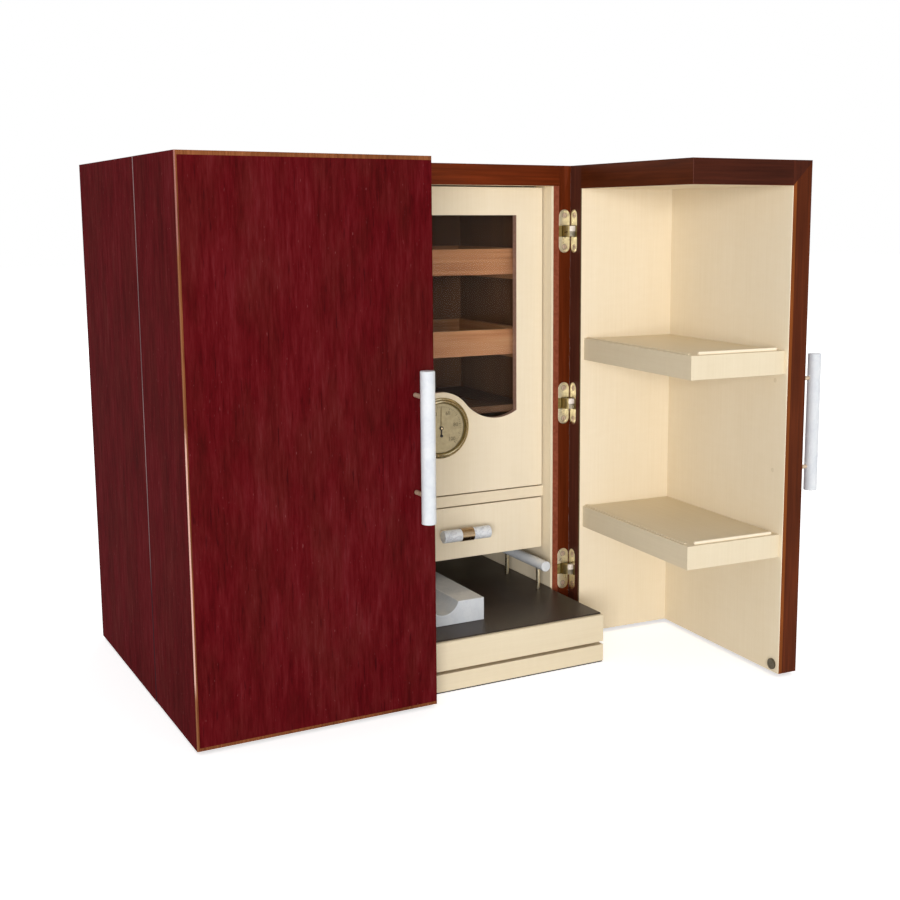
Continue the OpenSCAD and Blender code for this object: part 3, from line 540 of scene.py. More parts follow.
class Board:
    """A mesh in the making: a block that fills a box, or a copy of a node."""

    def __init__(self, node=None, box=None):
        self.bm = bmesh.new()
        if box:
            self.low, self.high = (Vector(corner) for corner in box)
            size = self.high - self.low
            bmesh.ops.create_cube(self.bm, size=1)
            for vertex in self.bm.verts:
                vertex.co = Vector(self.low[i] + (vertex.co[i] + 0.5) * size[i] for i in range(3))
        else:
            self.bm.from_mesh(frame["nodes"][node].data)
            self.low, self.high = box_of(node)
            bmesh.ops.remove_doubles(self.bm, verts=self.bm.verts, dist=WELD)
            bmesh.ops.dissolve_limit(self.bm, angle_limit=math.radians(0.5), verts=self.bm.verts,
                edges=self.bm.edges)

    def on_plane(self, point, axis, end):
        return abs(point[axis] - (self.low, self.high)[end][axis]) < ON_PLANE

    def planes_of(self, element):
        return {p for p in FACE_NAMES.values() if all(self.on_plane(v.co, *p) for v in element.verts)}

    def paint(self, inside, cuts=None, **faces):
        """Sets one finish, another for cuts inside the box, and those of the faces named.

        A face is named by its side of the box, such as nx for the face at low X.
        """
        for face in self.bm.faces:
            own = cuts and not self.planes_of(face)
            face.material_index = (cuts if own else inside).index
            for name, finish in faces.items():
                if FACE_NAMES[name] in self.planes_of(face):
                    face.material_index = finish.index

    def cut(self, at, normal, name=None):
        """Parts the faces along a plane: all of them, or those on one outer face."""
        faces = [f for f in self.bm.faces if not name or FACE_NAMES[name] in self.planes_of(f)]
        edges = (e for f in faces for e in f.edges)
        verts = (v for f in faces for v in f.verts)
        bmesh.ops.bisect_plane(self.bm, geom=list({*faces, *edges, *verts}), plane_co=at,
            plane_no=normal, dist=ON_CUT)

    def tint(self, finish, where, name=None):
        """Changes the finish of the faces whose middle is where it is asked for."""
        for face in self.bm.faces:
            if not name or FACE_NAMES[name] in self.planes_of(face):
                if where(face.calc_center_median()):
                    face.material_index = finish.index

    def strip(self, name, finish, **widths):
        """Lays strips of another finish on one outer face, each along the edge it is named for."""
        for edge, width in widths.items():
            axis, end = FACE_NAMES[edge]
            at = (self.low, self.high)[end].copy()
            at[axis] += (1, -1)[end] * width
            normal = [float(i == axis) for i in range(3)]
            self.cut(at, normal, name)
            self.tint(finish, lambda c: (c[axis] - at[axis]) * (-1, 1)[end] > 0, name)

    def reach(self, name, distance=SEAM_REACH):
        """Moves one outer face outward, which narrows the seam in front of it."""
        axis, end = FACE_NAMES[name]
        step = (-1, 1)[end] * distance
        for vertex in self.bm.verts:
            if self.on_plane(vertex.co, axis, end):
                vertex.co[axis] += step
        (self.low, self.high)[end][axis] += step

    def round_edges(self, pairs, width, finish=None, segments=3):
        """Rounds the edges where each two named faces meet."""
        wanted = [{FACE_NAMES[a], FACE_NAMES[b]} for a, b in pairs]
        edges = [e for e in self.bm.edges if any(pair <= self.planes_of(e) for pair in wanted)]
        self.bevel(edges, width, finish, segments)

    def round_sharp(self, width, finish=None, angle=50, segments=2):
        """Rounds every edge that turns by more than angle, in degrees."""
        edges = [e for e in self.bm.edges
            if e.is_manifold and e.calc_face_angle(0) > math.radians(angle)]
        self.bevel(edges, width, finish, segments)

    def bevel(self, edges, width, finish, segments):
        bmesh.ops.bevel(self.bm, geom=edges, offset=width, offset_type="OFFSET",
            segments=segments, profile=0.5, affect="EDGES", clamp_overlap=True,
            material=finish.index if finish else -1)

    def add_to(self, bm):
        """Adds this mesh to another one."""
        mesh = mesh_of(self.bm, "part")
        bm.from_mesh(mesh)
        bpy.data.meshes.remove(mesh)


def lay_grain(bm, grain):
    """Gives each corner its own coordinates with the third axis along the wood's grain."""
    layer = bm.loops.layers.float_vector.new("grain")
    main = "xyz".index(grain)
    spans = [max(v.co[i] for v in bm.verts) - min(v.co[i] for v in bm.verts) for i in range(3)]
    second = max((i for i in range(3) if i != main), key=lambda i: spans[i])
    for face in bm.faces:
        along = second if abs(face.normal[main]) > END_GRAIN else main
        for loop in face.loops:
            co = loop.vert.co
            loop[layer] = (co[(along + 1) % 3], co[(along + 2) % 3], co[along])


def make_piece(bm, name, body, nodes, place=None, grain="z", smooth=34):
    """Turns a bmesh into a piece that rides on a body and stands for the nodes named."""
    bm.normal_update()
    lay_grain(bm, grain)
    if place is not None:
        bm.transform(place)
        if place.determinant() < 0:
            bmesh.ops.reverse_faces(bm, faces=bm.faces)
    used = sorted({face.material_index for face in bm.faces})
    for face in bm.faces:
        face.material_index = used.index(face.material_index)
        face.smooth = True
    mesh = mesh_of(bm, name)
    for index in used:
        mesh.materials.append(Finish.made[index].material)
    mesh.set_sharp_from_angle(angle=math.radians(smooth))
    piece = add_object(name, mesh)
    piece.modifiers.new("even_normals", "WEIGHTED_NORMAL").keep_sharp = True
    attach(piece, body)
    if nodes:
        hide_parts(*nodes)


def make_on_door(bm, side, name, node, grain="z"):
    """Makes a piece of one door from a mesh in the place of the closed left door."""
    nodes = [f"{side}_{node}"] if node else ()
    make_piece(bm, f"{side}_{name}", f"{side}_door", nodes, SIDES[side], grain)


def dress(node, finish, slot, arris, name=None, body="cabinet", grain="z", **rounding):
    """Makes a piece from a node, in one finish and with its edges rounded."""
    board = Board(node)
    board.paint(finish)
    board.round_sharp(arris, **rounding)
    make_piece(board.bm, name or f"{node}_dressed", body, [node], grain=grain)


def circle(radius, steps):
    angles = (math.tau * i / steps for i in range(steps))
    return [Vector((radius * math.cos(a), radius * math.sin(a))) for a in angles]


def bridge(bm, near, far):
    """The faces between two closed rows of as many corners."""
    return [bm.faces.new((near[i - 1], near[i], far[i], far[i - 1])) for i in range(len(near))]


def close_up(bm, faces, finish):
    """Gives the faces of one closed form their finish, and turns them all outward."""
    for face in faces:
        face.material_index = finish.index
    bmesh.ops.recalc_face_normals(bm, faces=faces)


def turned(bm, outline, at, axis, finish, steps):
    """Turns an outline about an axis through at.

    Each point is a radius and a height, and a finish where the outline changes to another one.
    """
    place = looking_along(at, axis)
    rings = []
    for radius, height, *_ in outline:
        points = circle(radius, steps) if radius else [(0, 0)]
        rings.append([bm.verts.new(place @ Vector((*point, height))) for point in points])
    faces = []
    for low, high, (_, _, *other) in zip(rings, rings[1:], outline):
        finish = other[0] if other else finish
        for i in range(steps):
            j = (i + 1) % steps
            corners = [low[i % len(low)], low[j % len(low)], high[j % len(high)], high[i % len(high)]]
            corners = [v for k, v in enumerate(corners) if v not in corners[:k]]
            if len(corners) > 2:
                faces.append(bm.faces.new(corners))
                faces[-1].material_index = finish.index
    bmesh.ops.recalc_face_normals(bm, faces=faces)


def peg(radius, bottom, top):
    """The outline of a plain cylinder."""
    return [(0, bottom), (radius, bottom), (radius, top), (0, top)]


def rod_outline(radius, length):
    """The outline of a rod with rounded ends, from its middle to its middle."""
    arc = [(radius - ROD_EDGE + ROD_EDGE * math.sin(a), ROD_EDGE - ROD_EDGE * math.cos(a))
        for a in map(math.radians, (0, 30, 60, 90))]
    return [(0, 0), *arc, *[(r, length - h) for r, h in reversed(arc)], (0, length)]


def box_of(node):
    low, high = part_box(node)
    return Vector(low), Vector(high)


def solids_of(node):
    """The lowest and highest corner of each separate solid in a node."""
    bm = bmesh.new()
    bm.from_mesh(frame["nodes"][node].data)
    bmesh.ops.remove_doubles(bm, verts=bm.verts, dist=WELD)
    left, boxes = set(bm.verts), []
    while left:
        front = [left.pop()]
        found = list(front)
        while front:
            near = {e.other_vert(v) for v in front for e in v.link_edges} & left
            left -= near
            front = list(near)
            found += front
        boxes.append([Vector(pick(v.co[i] for v in found) for i in range(3))
            for pick in (min, max)])
    bm.free()
    return sorted(boxes, key=lambda box: tuple(round(c, 4) for c in (box[0].z, box[0].x)))


# The doors are built in the closed place of the left one, and carried to the other side.

def door_front(side):
    """The front panel with its lipping, and a mitre where the top panel meets it."""
    front = Board(box=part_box("left_door_front"))
    front.paint(EDGE, ny=VENEER, nx=VENEER, py=CREAM, pz=VENEER, px=FRONT_EDGE)
    front.strip("ny", STRIP, **LIPPING)
    front.strip("px", ORANGE_EDGE, py=INNER_STRIP)
    corner = Vector((front.high.x, front.high.y, box_of("left_door_top")[0].z))
    front.cut(corner, (0, 1, 1), "px")
    front.tint(DARK_EDGE, lambda c: (c - corner).y + (c - corner).z > 0, "px")
    # The outer corner takes the arris with its painted highlight.
    front.round_edges([("nx", "ny")], ARRIS, ARRIS_HIGHLIGHT)
    front.round_edges([("ny", "pz"), ("ny", "nz")], FINE_ARRIS, STRIP)
    front.round_edges([("px", "ny")], FINE_ARRIS, MAUVE_EDGE)
    front.round_edges([("px", "py")], FINE_ARRIS, CREAM)
    near = corner - Vector((1, 1, 0)) * FINE_ARRIS
    front.cut(corner, (0, 0, 1))
    front.tint(DARK_EDGE, lambda c: c.x > near.x and c.y > near.y and c.z > corner.z)
    make_on_door(front.bm, side, "front_panel", "door_front")


def door_wall(side):
    wall = Board("left_door_side")
    # The hinge pockets cut into it take painted shade.
    wall.paint(EDGE, cuts=RECESS_SHADE, nx=VENEER, px=CREAM, pz=VENEER, py=MAUVE_EDGE)
    wall.reach("py")
    if side == "left":
        # The seam's arris takes its painted greyish highlight.
        wall.round_edges([("nx", "py")], FINE_ARRIS, SEAM_HIGHLIGHT)
    wall.round_edges([("px", "py")], ARRIS, OLIVE_EDGE)
    make_on_door(wall.bm, side, "side_panel", "door_side")


def door_top(side):
    top = Board(box=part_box("left_door_top"))
    top.paint(EDGE, pz=VENEER, nz=CREAM, px=DARK_EDGE, py=FRONT_EDGE)
    top.reach("py")
    top.round_edges([("px", "pz"), ("px", "nz"), ("py", "nz")], FINE_ARRIS, EDGE)
    # The corner of the top takes the arris with its painted highlight.
    top.round_edges([("px", "py")], FINE_ARRIS, ARRIS_HIGHLIGHT)
    make_on_door(top.bm, side, "top_panel", "door_top", grain="x")


def door_shelves(side):
    board = Board("left_door_shelves")
    board.paint(DARKER_CREAM)
    board.round_sharp(INNER_ARRIS)
    make_on_door(board.bm, side, "shelves", "door_shelves", grain="x")


def shelf_lips(side):
    """A bead that keeps the glasses on each shelf, and a lower one along its long side. The tall bead
    takes a lighter copy of the sycamore as painted highlight, the low one a darker copy as painted
    shade.
    """
    bm = bmesh.new()
    for low, high in solids_of("left_shelf_lips"):
        foot = low.z
        tall = (high.x - LIP_W, low.y + LIP_END, foot), (high.x, high.y - LIP_END, foot + LIP_H)
        flat = (low.x, high.y - LIP_W, foot), (high.x - LIP_END, high.y, foot + LOW_LIP)
        for box, finish in ((tall, LIP_HIGHLIGHT_CREAM), (flat, DARKER_CREAM)):
            bead = Board(box=box)
            bead.paint(finish)
            bead.round_sharp(LIP_ROUND * (box[1][2] - box[0][2]), segments=4)
            bead.add_to(bm)
    make_on_door(bm, side, "lips", "shelf_lips", grain="x")


def handle_posts():
    """The radius of the posts of the left door's handle, and the height of each."""
    low, high = box_of("left_handle_posts")
    stem = (high.x - low.x) / 2
    return stem, (low.z + stem, high.z - stem)


def screw_plugs(side):
    """The plugs over the handle's screws, on the inner face of the door."""
    low, high = box_of("left_handle_rod")
    face = box_of("left_door_front")[1].y
    outline = [(0, -PLUG_T), (PLUG_R, -PLUG_T), (PLUG_R, 0.05 * MM), (PLUG_R - 0.3 * MM, PLUG_T),
        (0, PLUG_T)]
    bm = bmesh.new()
    for z in handle_posts()[1]:
        turned(bm, outline, ((low.x + high.x) / 2, face, z), (0, 1, 0), DARKER_CREAM, 32)
    make_on_door(bm, side, "screw_plugs", None)


def door_handle(side):
    low, high = box_of("left_handle_rod")
    radius = (high.x - low.x) / 2
    at = ((low.x + high.x) / 2, (low.y + high.y) / 2, low.z)
    bm = bmesh.new()
    turned(bm, rod_outline(radius, high.z - low.z), at, (0, 0, 1), MARBLE, 96)
    make_on_door(bm, side, "marble_rod", "handle_rod")

    face = box_of("left_handle_posts")[1].y
    stem, heights = handle_posts()
    reach = face - (at[1] + radius * POST_END)
    bm = bmesh.new()
    for z in heights:
        turned(bm, peg(stem, 0, reach), (at[0], face, z), (0, -1, 0), POST_BRASS, 48)
    make_on_door(bm, side, "brass_posts", "handle_posts")


def door_magnet(side):
    """A round cup with the sunk face of its magnet in the middle."""
    low, high = box_of("left_magnet")
    radius = (high.x - low.x) / 2
    depth = high.y - low.y
    step = 0.5 * MM
    outline = [(0, 0), (radius, 0), (radius, depth - step), (radius - step, depth),
        (radius * 0.62, depth), (radius * 0.56, depth - step), (0, depth - step)]
    bm = bmesh.new()
    turned(bm, outline, ((low.x + high.x) / 2, low.y, (low.z + high.z) / 2), (0, 1, 0), MAGNET, 48)
    make_on_door(bm, side, "magnet_cup", "magnet")


# The carcass and what it holds.

def outer_side(side):
    outer = {"left": "nx", "right": "px"}[side]
    node = f"carcass_side_{side}"
    board = Board(node)
    # The hinge pockets cut into it take painted shade.
    board.paint(EDGE, cuts=RECESS_SHADE, **{outer: VENEER, "py": VENEER, "pz": VENEER})
    board.reach("ny")
    if side == "left":
        # The seam's arris takes its painted greyish highlight.
        board.round_edges([(outer, "ny")], SEAM_ARRIS, SEAM_HIGHLIGHT)
    board.round_edges([(outer, "pz"), (outer, "py"), (outer, "nz")], FINE_ARRIS, VENEER)
    make_piece(board.bm, f"{side}_outer_side", "cabinet", [node])


def inner_side(side):
    """A lining board whose bevelled front has a brown strip next to the carcass, and the rest of the
    bevel in the darker sycamore as painted shade.
    """
    node = f"lining_{side}"
    lining = Board(node)
    # The hinge pockets cut into it take painted shade.
    lining.paint(CREAM, cuts=RECESS_SHADE)
    outer = lining.low.x if side == "left" else lining.high.x
    strip_end = abs(outer) - BEVEL_W
    lining.cut((math.copysign(strip_end, outer), 0, 0), (1, 0, 0))
    for face in lining.bm.faces:
        if face.normal.y < BEVEL_FACING:
            in_strip = abs(face.calc_center_median().x) > strip_end
            face.material_index = (BEVEL if in_strip else DARKER_CREAM).index
    make_piece(lining.bm, f"{side}_inner_side", "cabinet", [node], smooth=20)


def top_board():
    top = Board("carcass_top")
    top.paint(CREAM, pz=VENEER, ny=EDGE, py=VENEER)
    top.reach("ny")
    make_piece(top.bm, "top_board", "cabinet", ["carcass_top"], grain="x")


def back_board():
    back = Board(box=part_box("carcass_back"))
    back.paint(VENEER)
    make_piece(back.bm, "back_board", "cabinet", ["carcass_back"])


def tray_board():
    board = Board("tray_board")
    board.paint(DARKER_CREAM)
    board.round_edges([("ny", "pz")], TRAY_ARRIS, DARKER_CREAM)
    board.round_sharp(INNER_ARRIS)
    make_piece(board.bm, "tray_board_dressed", "cabinet", ["tray_board"], grain="x")


def inner_boards():
    for node, grain in (("lining_back", "z"), ("divider", "z"), ("mid_board", "x"),
            ("drawer_deck", "x")):
        dress(node, CREAM, "cream_veneer", INNER_ARRIS, grain=grain)
    dress("base_board", DARKER_CREAM, "cream_veneer", INNER_ARRIS, grain="x")
    tray_board()
    dress("drawer_front", CREAM, "cream_veneer", INNER_ARRIS, body="drawer")


def cedar_work():
    # The lining and floor take the cedar darkened as painted shade.
    for node, finish, grain in (("cedar_lining", CEDAR_IN_PAINTED_SHADE, "z"), ("cedar_floor", CEDAR_IN_PAINTED_SHADE, "x"),
            ("cedar_tray_lower", CEDAR, "x"), ("cedar_tray_upper", CEDAR, "x")):
        dress(node, finish, "cedar", CEDAR_ARRIS, grain=grain)
    dress("drawer_box", CEDAR, "cedar", CEDAR_ARRIS, body="drawer", grain="x")
    dress("wooden_runners", CEDAR, "runner_wood", CEDAR_ARRIS, grain="y")


def felt_pad():
    board = Board("base_felt")
    board.paint(FELT)
    for name in ("ny", "nx", "px"):
        board.reach(name, FELT_OUT)
    board.round_sharp(BASE_ARRIS)
    make_piece(board.bm, "base_felt_dressed", "cabinet", ["base_felt"])


def base():
    dress("tray_leather", LEATHER, "leather", LEATHER_ARRIS, name="leather_top", segments=3)
    dress("reveal_strips", SHADOW_WOOD, "reveal_wood", BASE_ARRIS)
    felt_pad()
    # The ashtray takes the marble darkened as painted shade.
    dress("ashtray", ASH_MARBLE_SHADED, "marble", STONE_ARRIS, name="marble_ashtray", segments=3, angle=30)


def gallery():
    """A marble rail on two brass posts along each side of the tray."""
    low, high = box_of("gallery_rails")
    radius = (high.z - low.z) / 2
    posts_low, posts_high = box_of("gallery_posts")
    post = (solids_of("gallery_posts")[0][1].x - posts_low.x) / 2
    reach = low.z + RAIL_HOLD - posts_low.z
    rails, posts = bmesh.new(), bmesh.new()
    for x in (low.x + radius, high.x - radius):
        turned(rails, rod_outline(radius, high.y - low.y), (x, low.y, low.z + radius), (0, 1, 0),
            MARBLE, 96)
        for y in (posts_low.y + post, posts_high.y - post):
            turned(posts, peg(post, 0, reach), (x, y, posts_low.z), (0, 0, 1), PLATE_BRASS, 48)
    make_piece(rails, "marble_rails", "cabinet", ["gallery_rails"])
    make_piece(posts, "rail_posts", "cabinet", ["gallery_posts"])


# The concealed hinges.

def hinge_plates(node):
    """Bright plates with painted shade around the slots for the links."""
    plates = Board(node)
    plates.paint(PLATE_BRASS)
    plates.round_sharp(INNER_ARRIS, angle=60)
    for low, high in solids_of("left_hinge_links"):
        ends = low.z - LINK_ROOM, high.z + LINK_ROOM
        for z in ends:
            plates.cut((0, 0, z), (0, 0, 1))
        plates.tint(RECESS_SHADE, lambda c: ends[0] < c.z < ends[1])
    return plates.bm


def cross_head(bm, at, axis, radius):
    """A countersunk screw head whose face looks along axis, with a cross cut into it."""
    place = looking_along(at, axis)
    arm, half, depth = CROSS_ARM * radius, CROSS_HALF * radius, CROSS_DEPTH * radius
    corner = [Vector(point) for point in ((arm, -half), (arm, half), (half, half))]
    cross = [Matrix.Rotation(math.radians(90 * i), 2) @ point for i in range(4) for point in corner]
    rim = circle(radius, 32)

    def ring(points, scale, height):
        return [bm.verts.new(place @ Vector((*(point * scale), height))) for point in points]

    edge, under = ring(rim, 1.0, 0), ring(rim, HEAD_UNDER, -HEAD_UNDER * radius)
    inner = ring(rim, CROSS_RING, 0)
    mouth, floor = ring(cross, 1.0, 0), ring(cross, 1.0, -depth)
    ribbed = bridge(bm, edge, inner)
    made = bridge(bm, edge, under) + bridge(bm, mouth, floor)
    made += [bm.faces.new(under), bm.faces.new(floor)]
    edges = [bm.edges.get((row[i - 1], row[i])) for row in (inner, mouth) for i in range(len(row))]
    filled = bmesh.ops.triangle_fill(bm, edges=edges, use_beauty=True)
    made += [f for f in filled["geom"] if isinstance(f, bmesh.types.BMFace)]
    close_up(bm, made + ribbed, SCREW_BRASS)
    for face in ribbed:
        face.material_index = RIBBED_METAL.index


def screws(node, axis):
    """Cross-head screws where a node has them, with heads that look along axis."""
    bm = bmesh.new()
    for low, high in solids_of(node):
        head = (high.z - low.z) / 2
        face = low.y if axis < 0 else high.y
        at = Vector(((low.x + high.x) / 2, face, (low.z + high.z) / 2))
        cross_head(bm, at, (0, axis, 0), head)
        length = high.y - low.y
        stem = STEM_R * head
        top = -STEM_TOP * head
        turned(bm, [(0, -length), (stem * TIP_R, -length), (stem, -length + TIP_L), (stem, top),
            (0, top)], at, (0, axis, 0), SCREW_BRASS, 20)
    return bm


def link_segment(bm, inner, outer, low, high, start, end, finish):
    """A closed piece of a ring about the Z axis, between two angles in degrees."""
    steps = max(2, round((end - start) / LINK_STEP))
    rings = []
    for i in range(steps + 1):
        a = math.radians(start + (end - start) * i / steps)
        rings.append([bm.verts.new((r * math.cos(a), r * math.sin(a), z))
            for r, z in ((inner, low), (outer, low), (outer, high), (inner, high))])
    faces = [bm.faces.new(rings[0]), bm.faces.new(rings[-1])]
    for near, far in zip(rings, rings[1:]):
        faces += bridge(bm, near, far)
    close_up(bm, faces, finish)


def link_ring(side, hinge):
    """The radii, heights and end angles of a side's links about the hinge, all as on the right."""
    parts = [v.co - hinge for v in frame["nodes"][f"{side}_hinge_links"].data.vertices]
    radii = [math.hypot(co.x, co.y) for co in parts]
    heights = sorted({round(co.z, 5) for co in parts})
    angles = [math.degrees(math.atan2(co.y, co.x)) % 360 for co in parts]
    if side == "left":
        angles = [(180 - a) % 360 for a in angles]
    return min(radii), max(radii), heights, min(angles), max(angles)


def hinge_links(side):
    """Each link is a bright upper block on a ribbed lower one, with its part in the carcass painted
    darker as shade.
    """
    hinge = Vector(joint(f"{side}_link_pivot")["pos_m"])
    inner, outer, heights, start, end = link_ring(side, hinge)
    bright = start + LINK_DARK
    bm = bmesh.new()
    for low, high in zip(heights[0::2], heights[1::2]):
        split = (low + high) / 2
        link_segment(bm, inner, outer, low, high, start, bright, LINK_SHADE)
        link_segment(bm, inner, outer, split, high, bright, end, LINK_METAL)
        rib = bright
        while rib < end - RIB_LEAST:
            crest, rib_end = rib + RIB_TURN, rib + 2 * RIB_TURN
            link_segment(bm, inner, outer - RIB_DEPTH, low, split, rib, crest, RIBBED_METAL)
            link_segment(bm, inner, outer, low, split, crest, min(rib_end, end), RIBBED_METAL)
            rib = rib_end
    if side == "left":
        bm.transform(MIRROR)
        bmesh.ops.reverse_faces(bm, faces=bm.faces)
    bm.transform(Matrix.Translation(hinge))
    make_piece(bm, f"{side}_links", f"{side}_links", [f"{side}_hinge_links"])


def hinges():
    make_piece(hinge_plates("carcass_hinge_plates"), "carcass_plates", "cabinet",
        ["carcass_hinge_plates"])
    make_piece(screws("carcass_hinge_screws", -1), "carcass_screws", "cabinet",
        ["carcass_hinge_screws"])
    for side in SIDES:
        make_on_door(hinge_plates("left_hinge_plates"), side, "plates", "hinge_plates")
        make_on_door(screws("left_hinge_screws", 1), side, "screws", "hinge_screws")
        hinge_links(side)


# The humidor door and the drawer.

def humidor_door():
    panel = Board("humidor_frame")
    panel.paint(CREAM, cuts=REVEAL)
    panel.round_sharp(INNER_ARRIS)
    make_piece(panel.bm, "humidor_door_frame", "humidor_door", ["humidor_frame"])


def hygrometer_case(at):
    """The turned case and its bezel: two polished beads, with painted shade in the groove between
    them, on the inner wall and along the foot against the door.
    """
    low, high = box_of("hygrometer_case")
    rim = (high.x - low.x) / 2
    back = at[1] - high.y
    body = rim - 5 * MM
    mouth = rim - 6.4 * MM
    front = at[1] - low.y
    bm = bmesh.new()
    turned(bm, [(0, back), (body - 1 * MM, back), (body, back + 1 * MM), (body, 0, RECESS_SHADE),
        (rim - 0.4 * MM, 0), (rim, 0.5 * MM), (rim - 0.2 * MM, 1.2 * MM),
        (rim - 0.8 * MM, 2.0 * MM, BEZEL), (rim - 1.9 * MM, 2.5 * MM, RECESS_SHADE),
        (rim - 2.3 * MM, 2.1 * MM), (rim - 2.7 * MM, 2.6 * MM, BEZEL),
        (rim - 3.2 * MM, 3.5 * MM), (rim - 3.9 * MM, front - 0.3 * MM), (rim - 4.6 * MM, front),
        (rim - 5.2 * MM, front - 0.4 * MM, RECESS_SHADE), (rim - 6.0 * MM, front - 1.6 * MM),
        (mouth, 2.2 * MM, DIAL), (mouth, back + 1.5 * MM), (0, back + 1.5 * MM)],
        at, (0, -1, 0), BEZEL, 128)
    make_piece(bm, "hygrometer_bezel", "humidor_door", ["hygrometer_case"])


def dial_mark(bm, at, angle, near, far, width):
    """A printed line on the dial, at an angle clockwise from the top."""
    spin = Matrix.Translation(Vector(at)) @ rotation(angle, "Y")
    for vertex in bmesh.ops.create_cube(bm, size=1)["verts"]:
        x, y, z = vertex.co
        vertex.co = spin @ Vector((x * width, y * PRINT_T, near + (z + 0.5) * (far - near)))


def dial_number(bm, at, text, angle):
    """An upright number on the dial."""
    curve = bpy.data.curves.new("number", "FONT")
    curve.body = text
    curve.size = NUMBER_H
    curve.align_x = "CENTER"
    curve.align_y = "CENTER"
    curve.extrude = PRINT_T / 2
    curve.resolution_u = 3
    obj = bpy.data.objects.new("number", curve)
    mesh = bpy.data.meshes.new_from_object(obj)
    turn = math.radians(angle)
    out = Vector((NUMBER_AT * math.sin(turn), 0, NUMBER_AT * math.cos(turn)))
    mesh.transform(Matrix.Translation(Vector(at) + out) @ rotation(90, "X"))
    bm.from_mesh(mesh)
    bpy.data.objects.remove(obj)
    bpy.data.curves.remove(curve)
    bpy.data.meshes.remove(mesh)


def hygrometer_print(at):
    """Marks of two per cent, longer ones at every ten, and a number at every twenty."""
    bm = bmesh.new()
    face = (at[0], box_of("hygrometer_dial")[0].y - PRINT_T / 2, at[2])
    for per_cent in range(0, 101, 2):
        angle = SCALE_SWEEP * (per_cent / 100 - 0.5)
        if per_cent % 10 == 0:
            dial_mark(bm, face, angle, LONG_MARK_FROM, MARK_TO, LONG_MARK_W)
        else:
            dial_mark(bm, face, angle, MARK_FROM, MARK_TO, MARK_W)
        if per_cent % 20 == 0:
            dial_number(bm, face, str(per_cent), angle)
    for printed in bm.faces:
        printed.material_index = PRINT.index
    make_piece(bm, "dial_print", "humidor_door", ())


def needle_blade(bm, arbor, ends, finish):
    """A flat blade that runs up the dial between two ends, each a height and half a width."""
    rows = [[bm.verts.new(arbor + Vector((x * MM, y * MM, z)))
        for x, y in ((-half, 0.9), (half, 0.9), (half, 0.5), (-half, 0.5))] for z, half in ends]
    close_up(bm, [*map(bm.faces.new, rows), *bridge(bm, *rows)], finish)


def hygrometer_needle():
    """A slim brass needle on its arbor, with a black counterweight."""
    arbor = Vector(joint("needle_arbor")["pos_m"])
    high = box_of("hygrometer_needle")[1]
    back = arbor.y - high.y
    bm = bmesh.new()
    turned(bm, peg(0.7 * MM, back, 0), arbor, (0, -1, 0), INK, 24)
    turned(bm, [(0, -1.0 * MM, INK), (2.3 * MM, -1.0 * MM), (2.3 * MM, -0.5 * MM),
        (1.2 * MM, 0.0 * MM, BRASS), (1.0 * MM, 0.25 * MM), (0, 0.3 * MM)], arbor, (0, -1, 0),
        INK, 40)
    weight = arbor - Vector((0, 0, NEEDLE_TAIL))
    turned(bm, peg(1.7 * MM, -0.9 * MM, -0.5 * MM), weight, (0, -1, 0), INK, 32)
    needle_blade(bm, arbor, ((-NEEDLE_TAIL, 0.5), (0, 0.7)), INK)
    needle_blade(bm, arbor, ((0, 0.75), (high.z - arbor.z, 0.22)), NEEDLE_BRASS)
    make_piece(bm, "needle_and_weight", "needle", ["hygrometer_needle"])


def hygrometer():
    arbor = joint("needle_arbor")["pos_m"]
    at = (arbor[0], box_of("humidor_frame")[0].y, arbor[2])
    hygrometer_case(at)
    hygrometer_print(at)
    hygrometer_needle()


def drawer_rod():
    """The short marble rod across the drawer, which brass holds at its middle."""
    low, high = box_of("drawer_handle_rod")
    centre = (low + high) / 2
    bm = bmesh.new()
    turned(bm, rod_outline((high.z - low.z) / 2, high.x - low.x), (low.x, centre.y, centre.z),
        (1, 0, 0), VEINED_MARBLE, 96)
    make_piece(bm, "drawer_marble_rod", "drawer", ["drawer_handle_rod"])


def dress_nodes():
    """Gives the nodes that stay as they are their finishes."""
    for name, finish in (("humidor_glass", GLASS), ("humidor_pivots", BRASS),
            ("humidor_knob", BRASS), ("hygrometer_dial", DIAL), ("humidifier_case", BLACK_PLASTIC),
            ("catch_strikes", STEEL), ("drawer_handle_brass", HANDLE_BRASS)):
        data = frame["nodes"][name].data
        data.materials.clear()
        data.materials.append(finish.material)


def add_node(tree, kind, *inputs):
    """A shader node whose first inputs are linked to sockets, or set to values."""
    made = tree.nodes.new("ShaderNode" + kind)
    for socket, value in zip(made.inputs, inputs):
        if isinstance(value, bpy.types.NodeSocket):
            tree.links.new(value, socket)
        else:
            socket.default_value = value
    return made


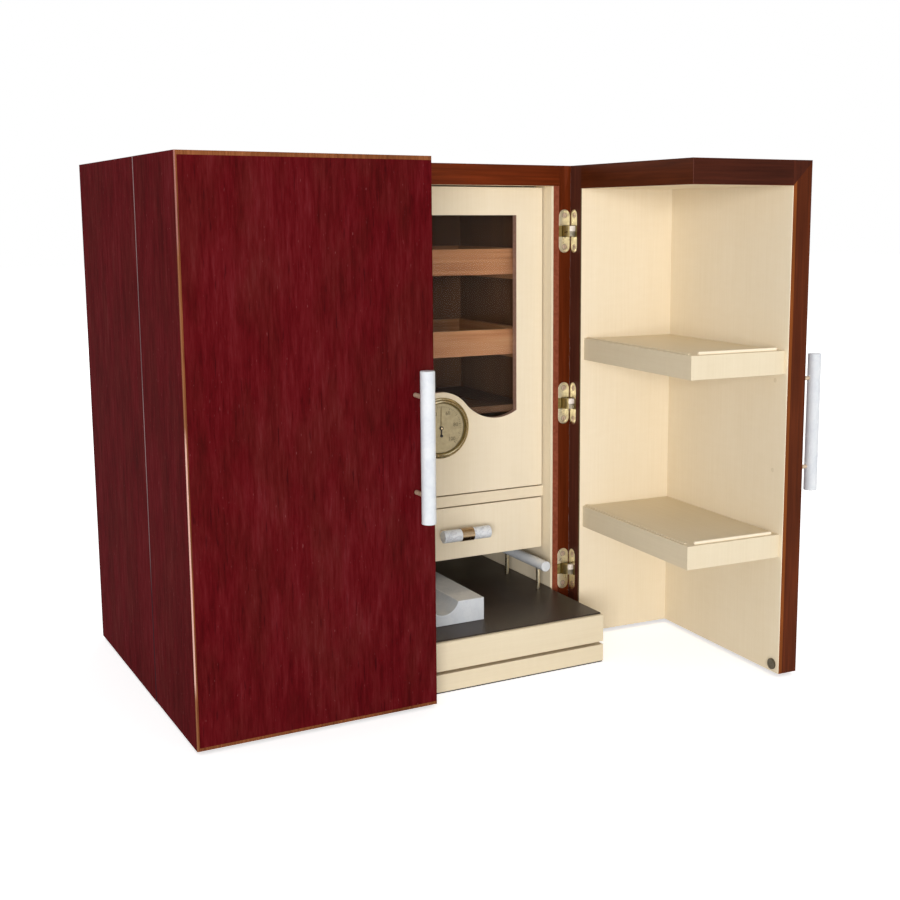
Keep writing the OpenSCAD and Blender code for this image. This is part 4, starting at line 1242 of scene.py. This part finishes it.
def seen_directly(tree):
    """A socket that is 1 for rays from the camera, reflections and rays through glass."""
    path = add_node(tree, "LightPath")
    found = path.outputs["Is Camera Ray"]
    for name in ("Is Glossy Ray", "Is Transmission Ray"):
        most = add_node(tree, "Math", found, path.outputs[name])
        most.operation = "MAXIMUM"
        found = most.outputs[0]
    return found


def floor_material():
    """A matt pale floor that glows where it is seen directly."""
    material = bpy.data.materials.new("floor")
    material.use_nodes = True
    tree = material.node_tree
    tree.nodes.clear()
    matt = add_node(tree, "BsdfDiffuse", (*[FLOOR_COLOUR] * 3, 1))
    level = add_node(tree, "Math", seen_directly(tree), FLOOR_GLOW)
    level.operation = "MULTIPLY"
    glow = add_node(tree, "Emission", WHITE, level.outputs[0])
    both = add_node(tree, "AddShader", matt.outputs[0], glow.outputs[0])
    add_node(tree, "OutputMaterial", both.outputs[0])
    return material


def make_stage():
    """A pale floor that looks white and keeps the cabinet's shadow."""
    bm = bmesh.new()
    bmesh.ops.create_grid(bm, x_segments=1, y_segments=1, size=FLOOR_SIZE)
    floor = add_object("floor", mesh_of(bm, "floor"))
    floor.location.z = -FLOOR_DROP
    floor.data.materials.append(floor_material())


def make_world():
    """A soft even light, which looks white where it is seen directly."""
    world = bpy.data.worlds.new("studio")
    bpy.context.scene.world = world
    world.use_nodes = True
    tree = world.node_tree
    light = tree.nodes["Background"]
    light.inputs["Color"].default_value = WHITE
    light.inputs["Strength"].default_value = WORLD_LEVEL
    white = add_node(tree, "Background", WHITE)
    mix = add_node(tree, "MixShader", seen_directly(tree), light.outputs[0], white.outputs[0])
    tree.links.new(mix.outputs[0], tree.nodes["World Output"].inputs["Surface"])


make_camera()
make_stage()
make_world()
for lamp_name, settings in LAMPS.items():
    area_light(lamp_name, *settings)
bpy.context.scene.view_settings.view_transform = "Standard"

for door in SIDES:
    for build in (door_front, door_wall, door_top, door_shelves, shelf_lips, screw_plugs,
            door_handle, door_magnet):
        build(door)
for carcass_side in SIDES:
    outer_side(carcass_side)
    inner_side(carcass_side)
top_board()
back_board()
inner_boards()
cedar_work()
base()
gallery()
hinges()
humidor_door()
hygrometer()
drawer_rod()
dress_nodes()
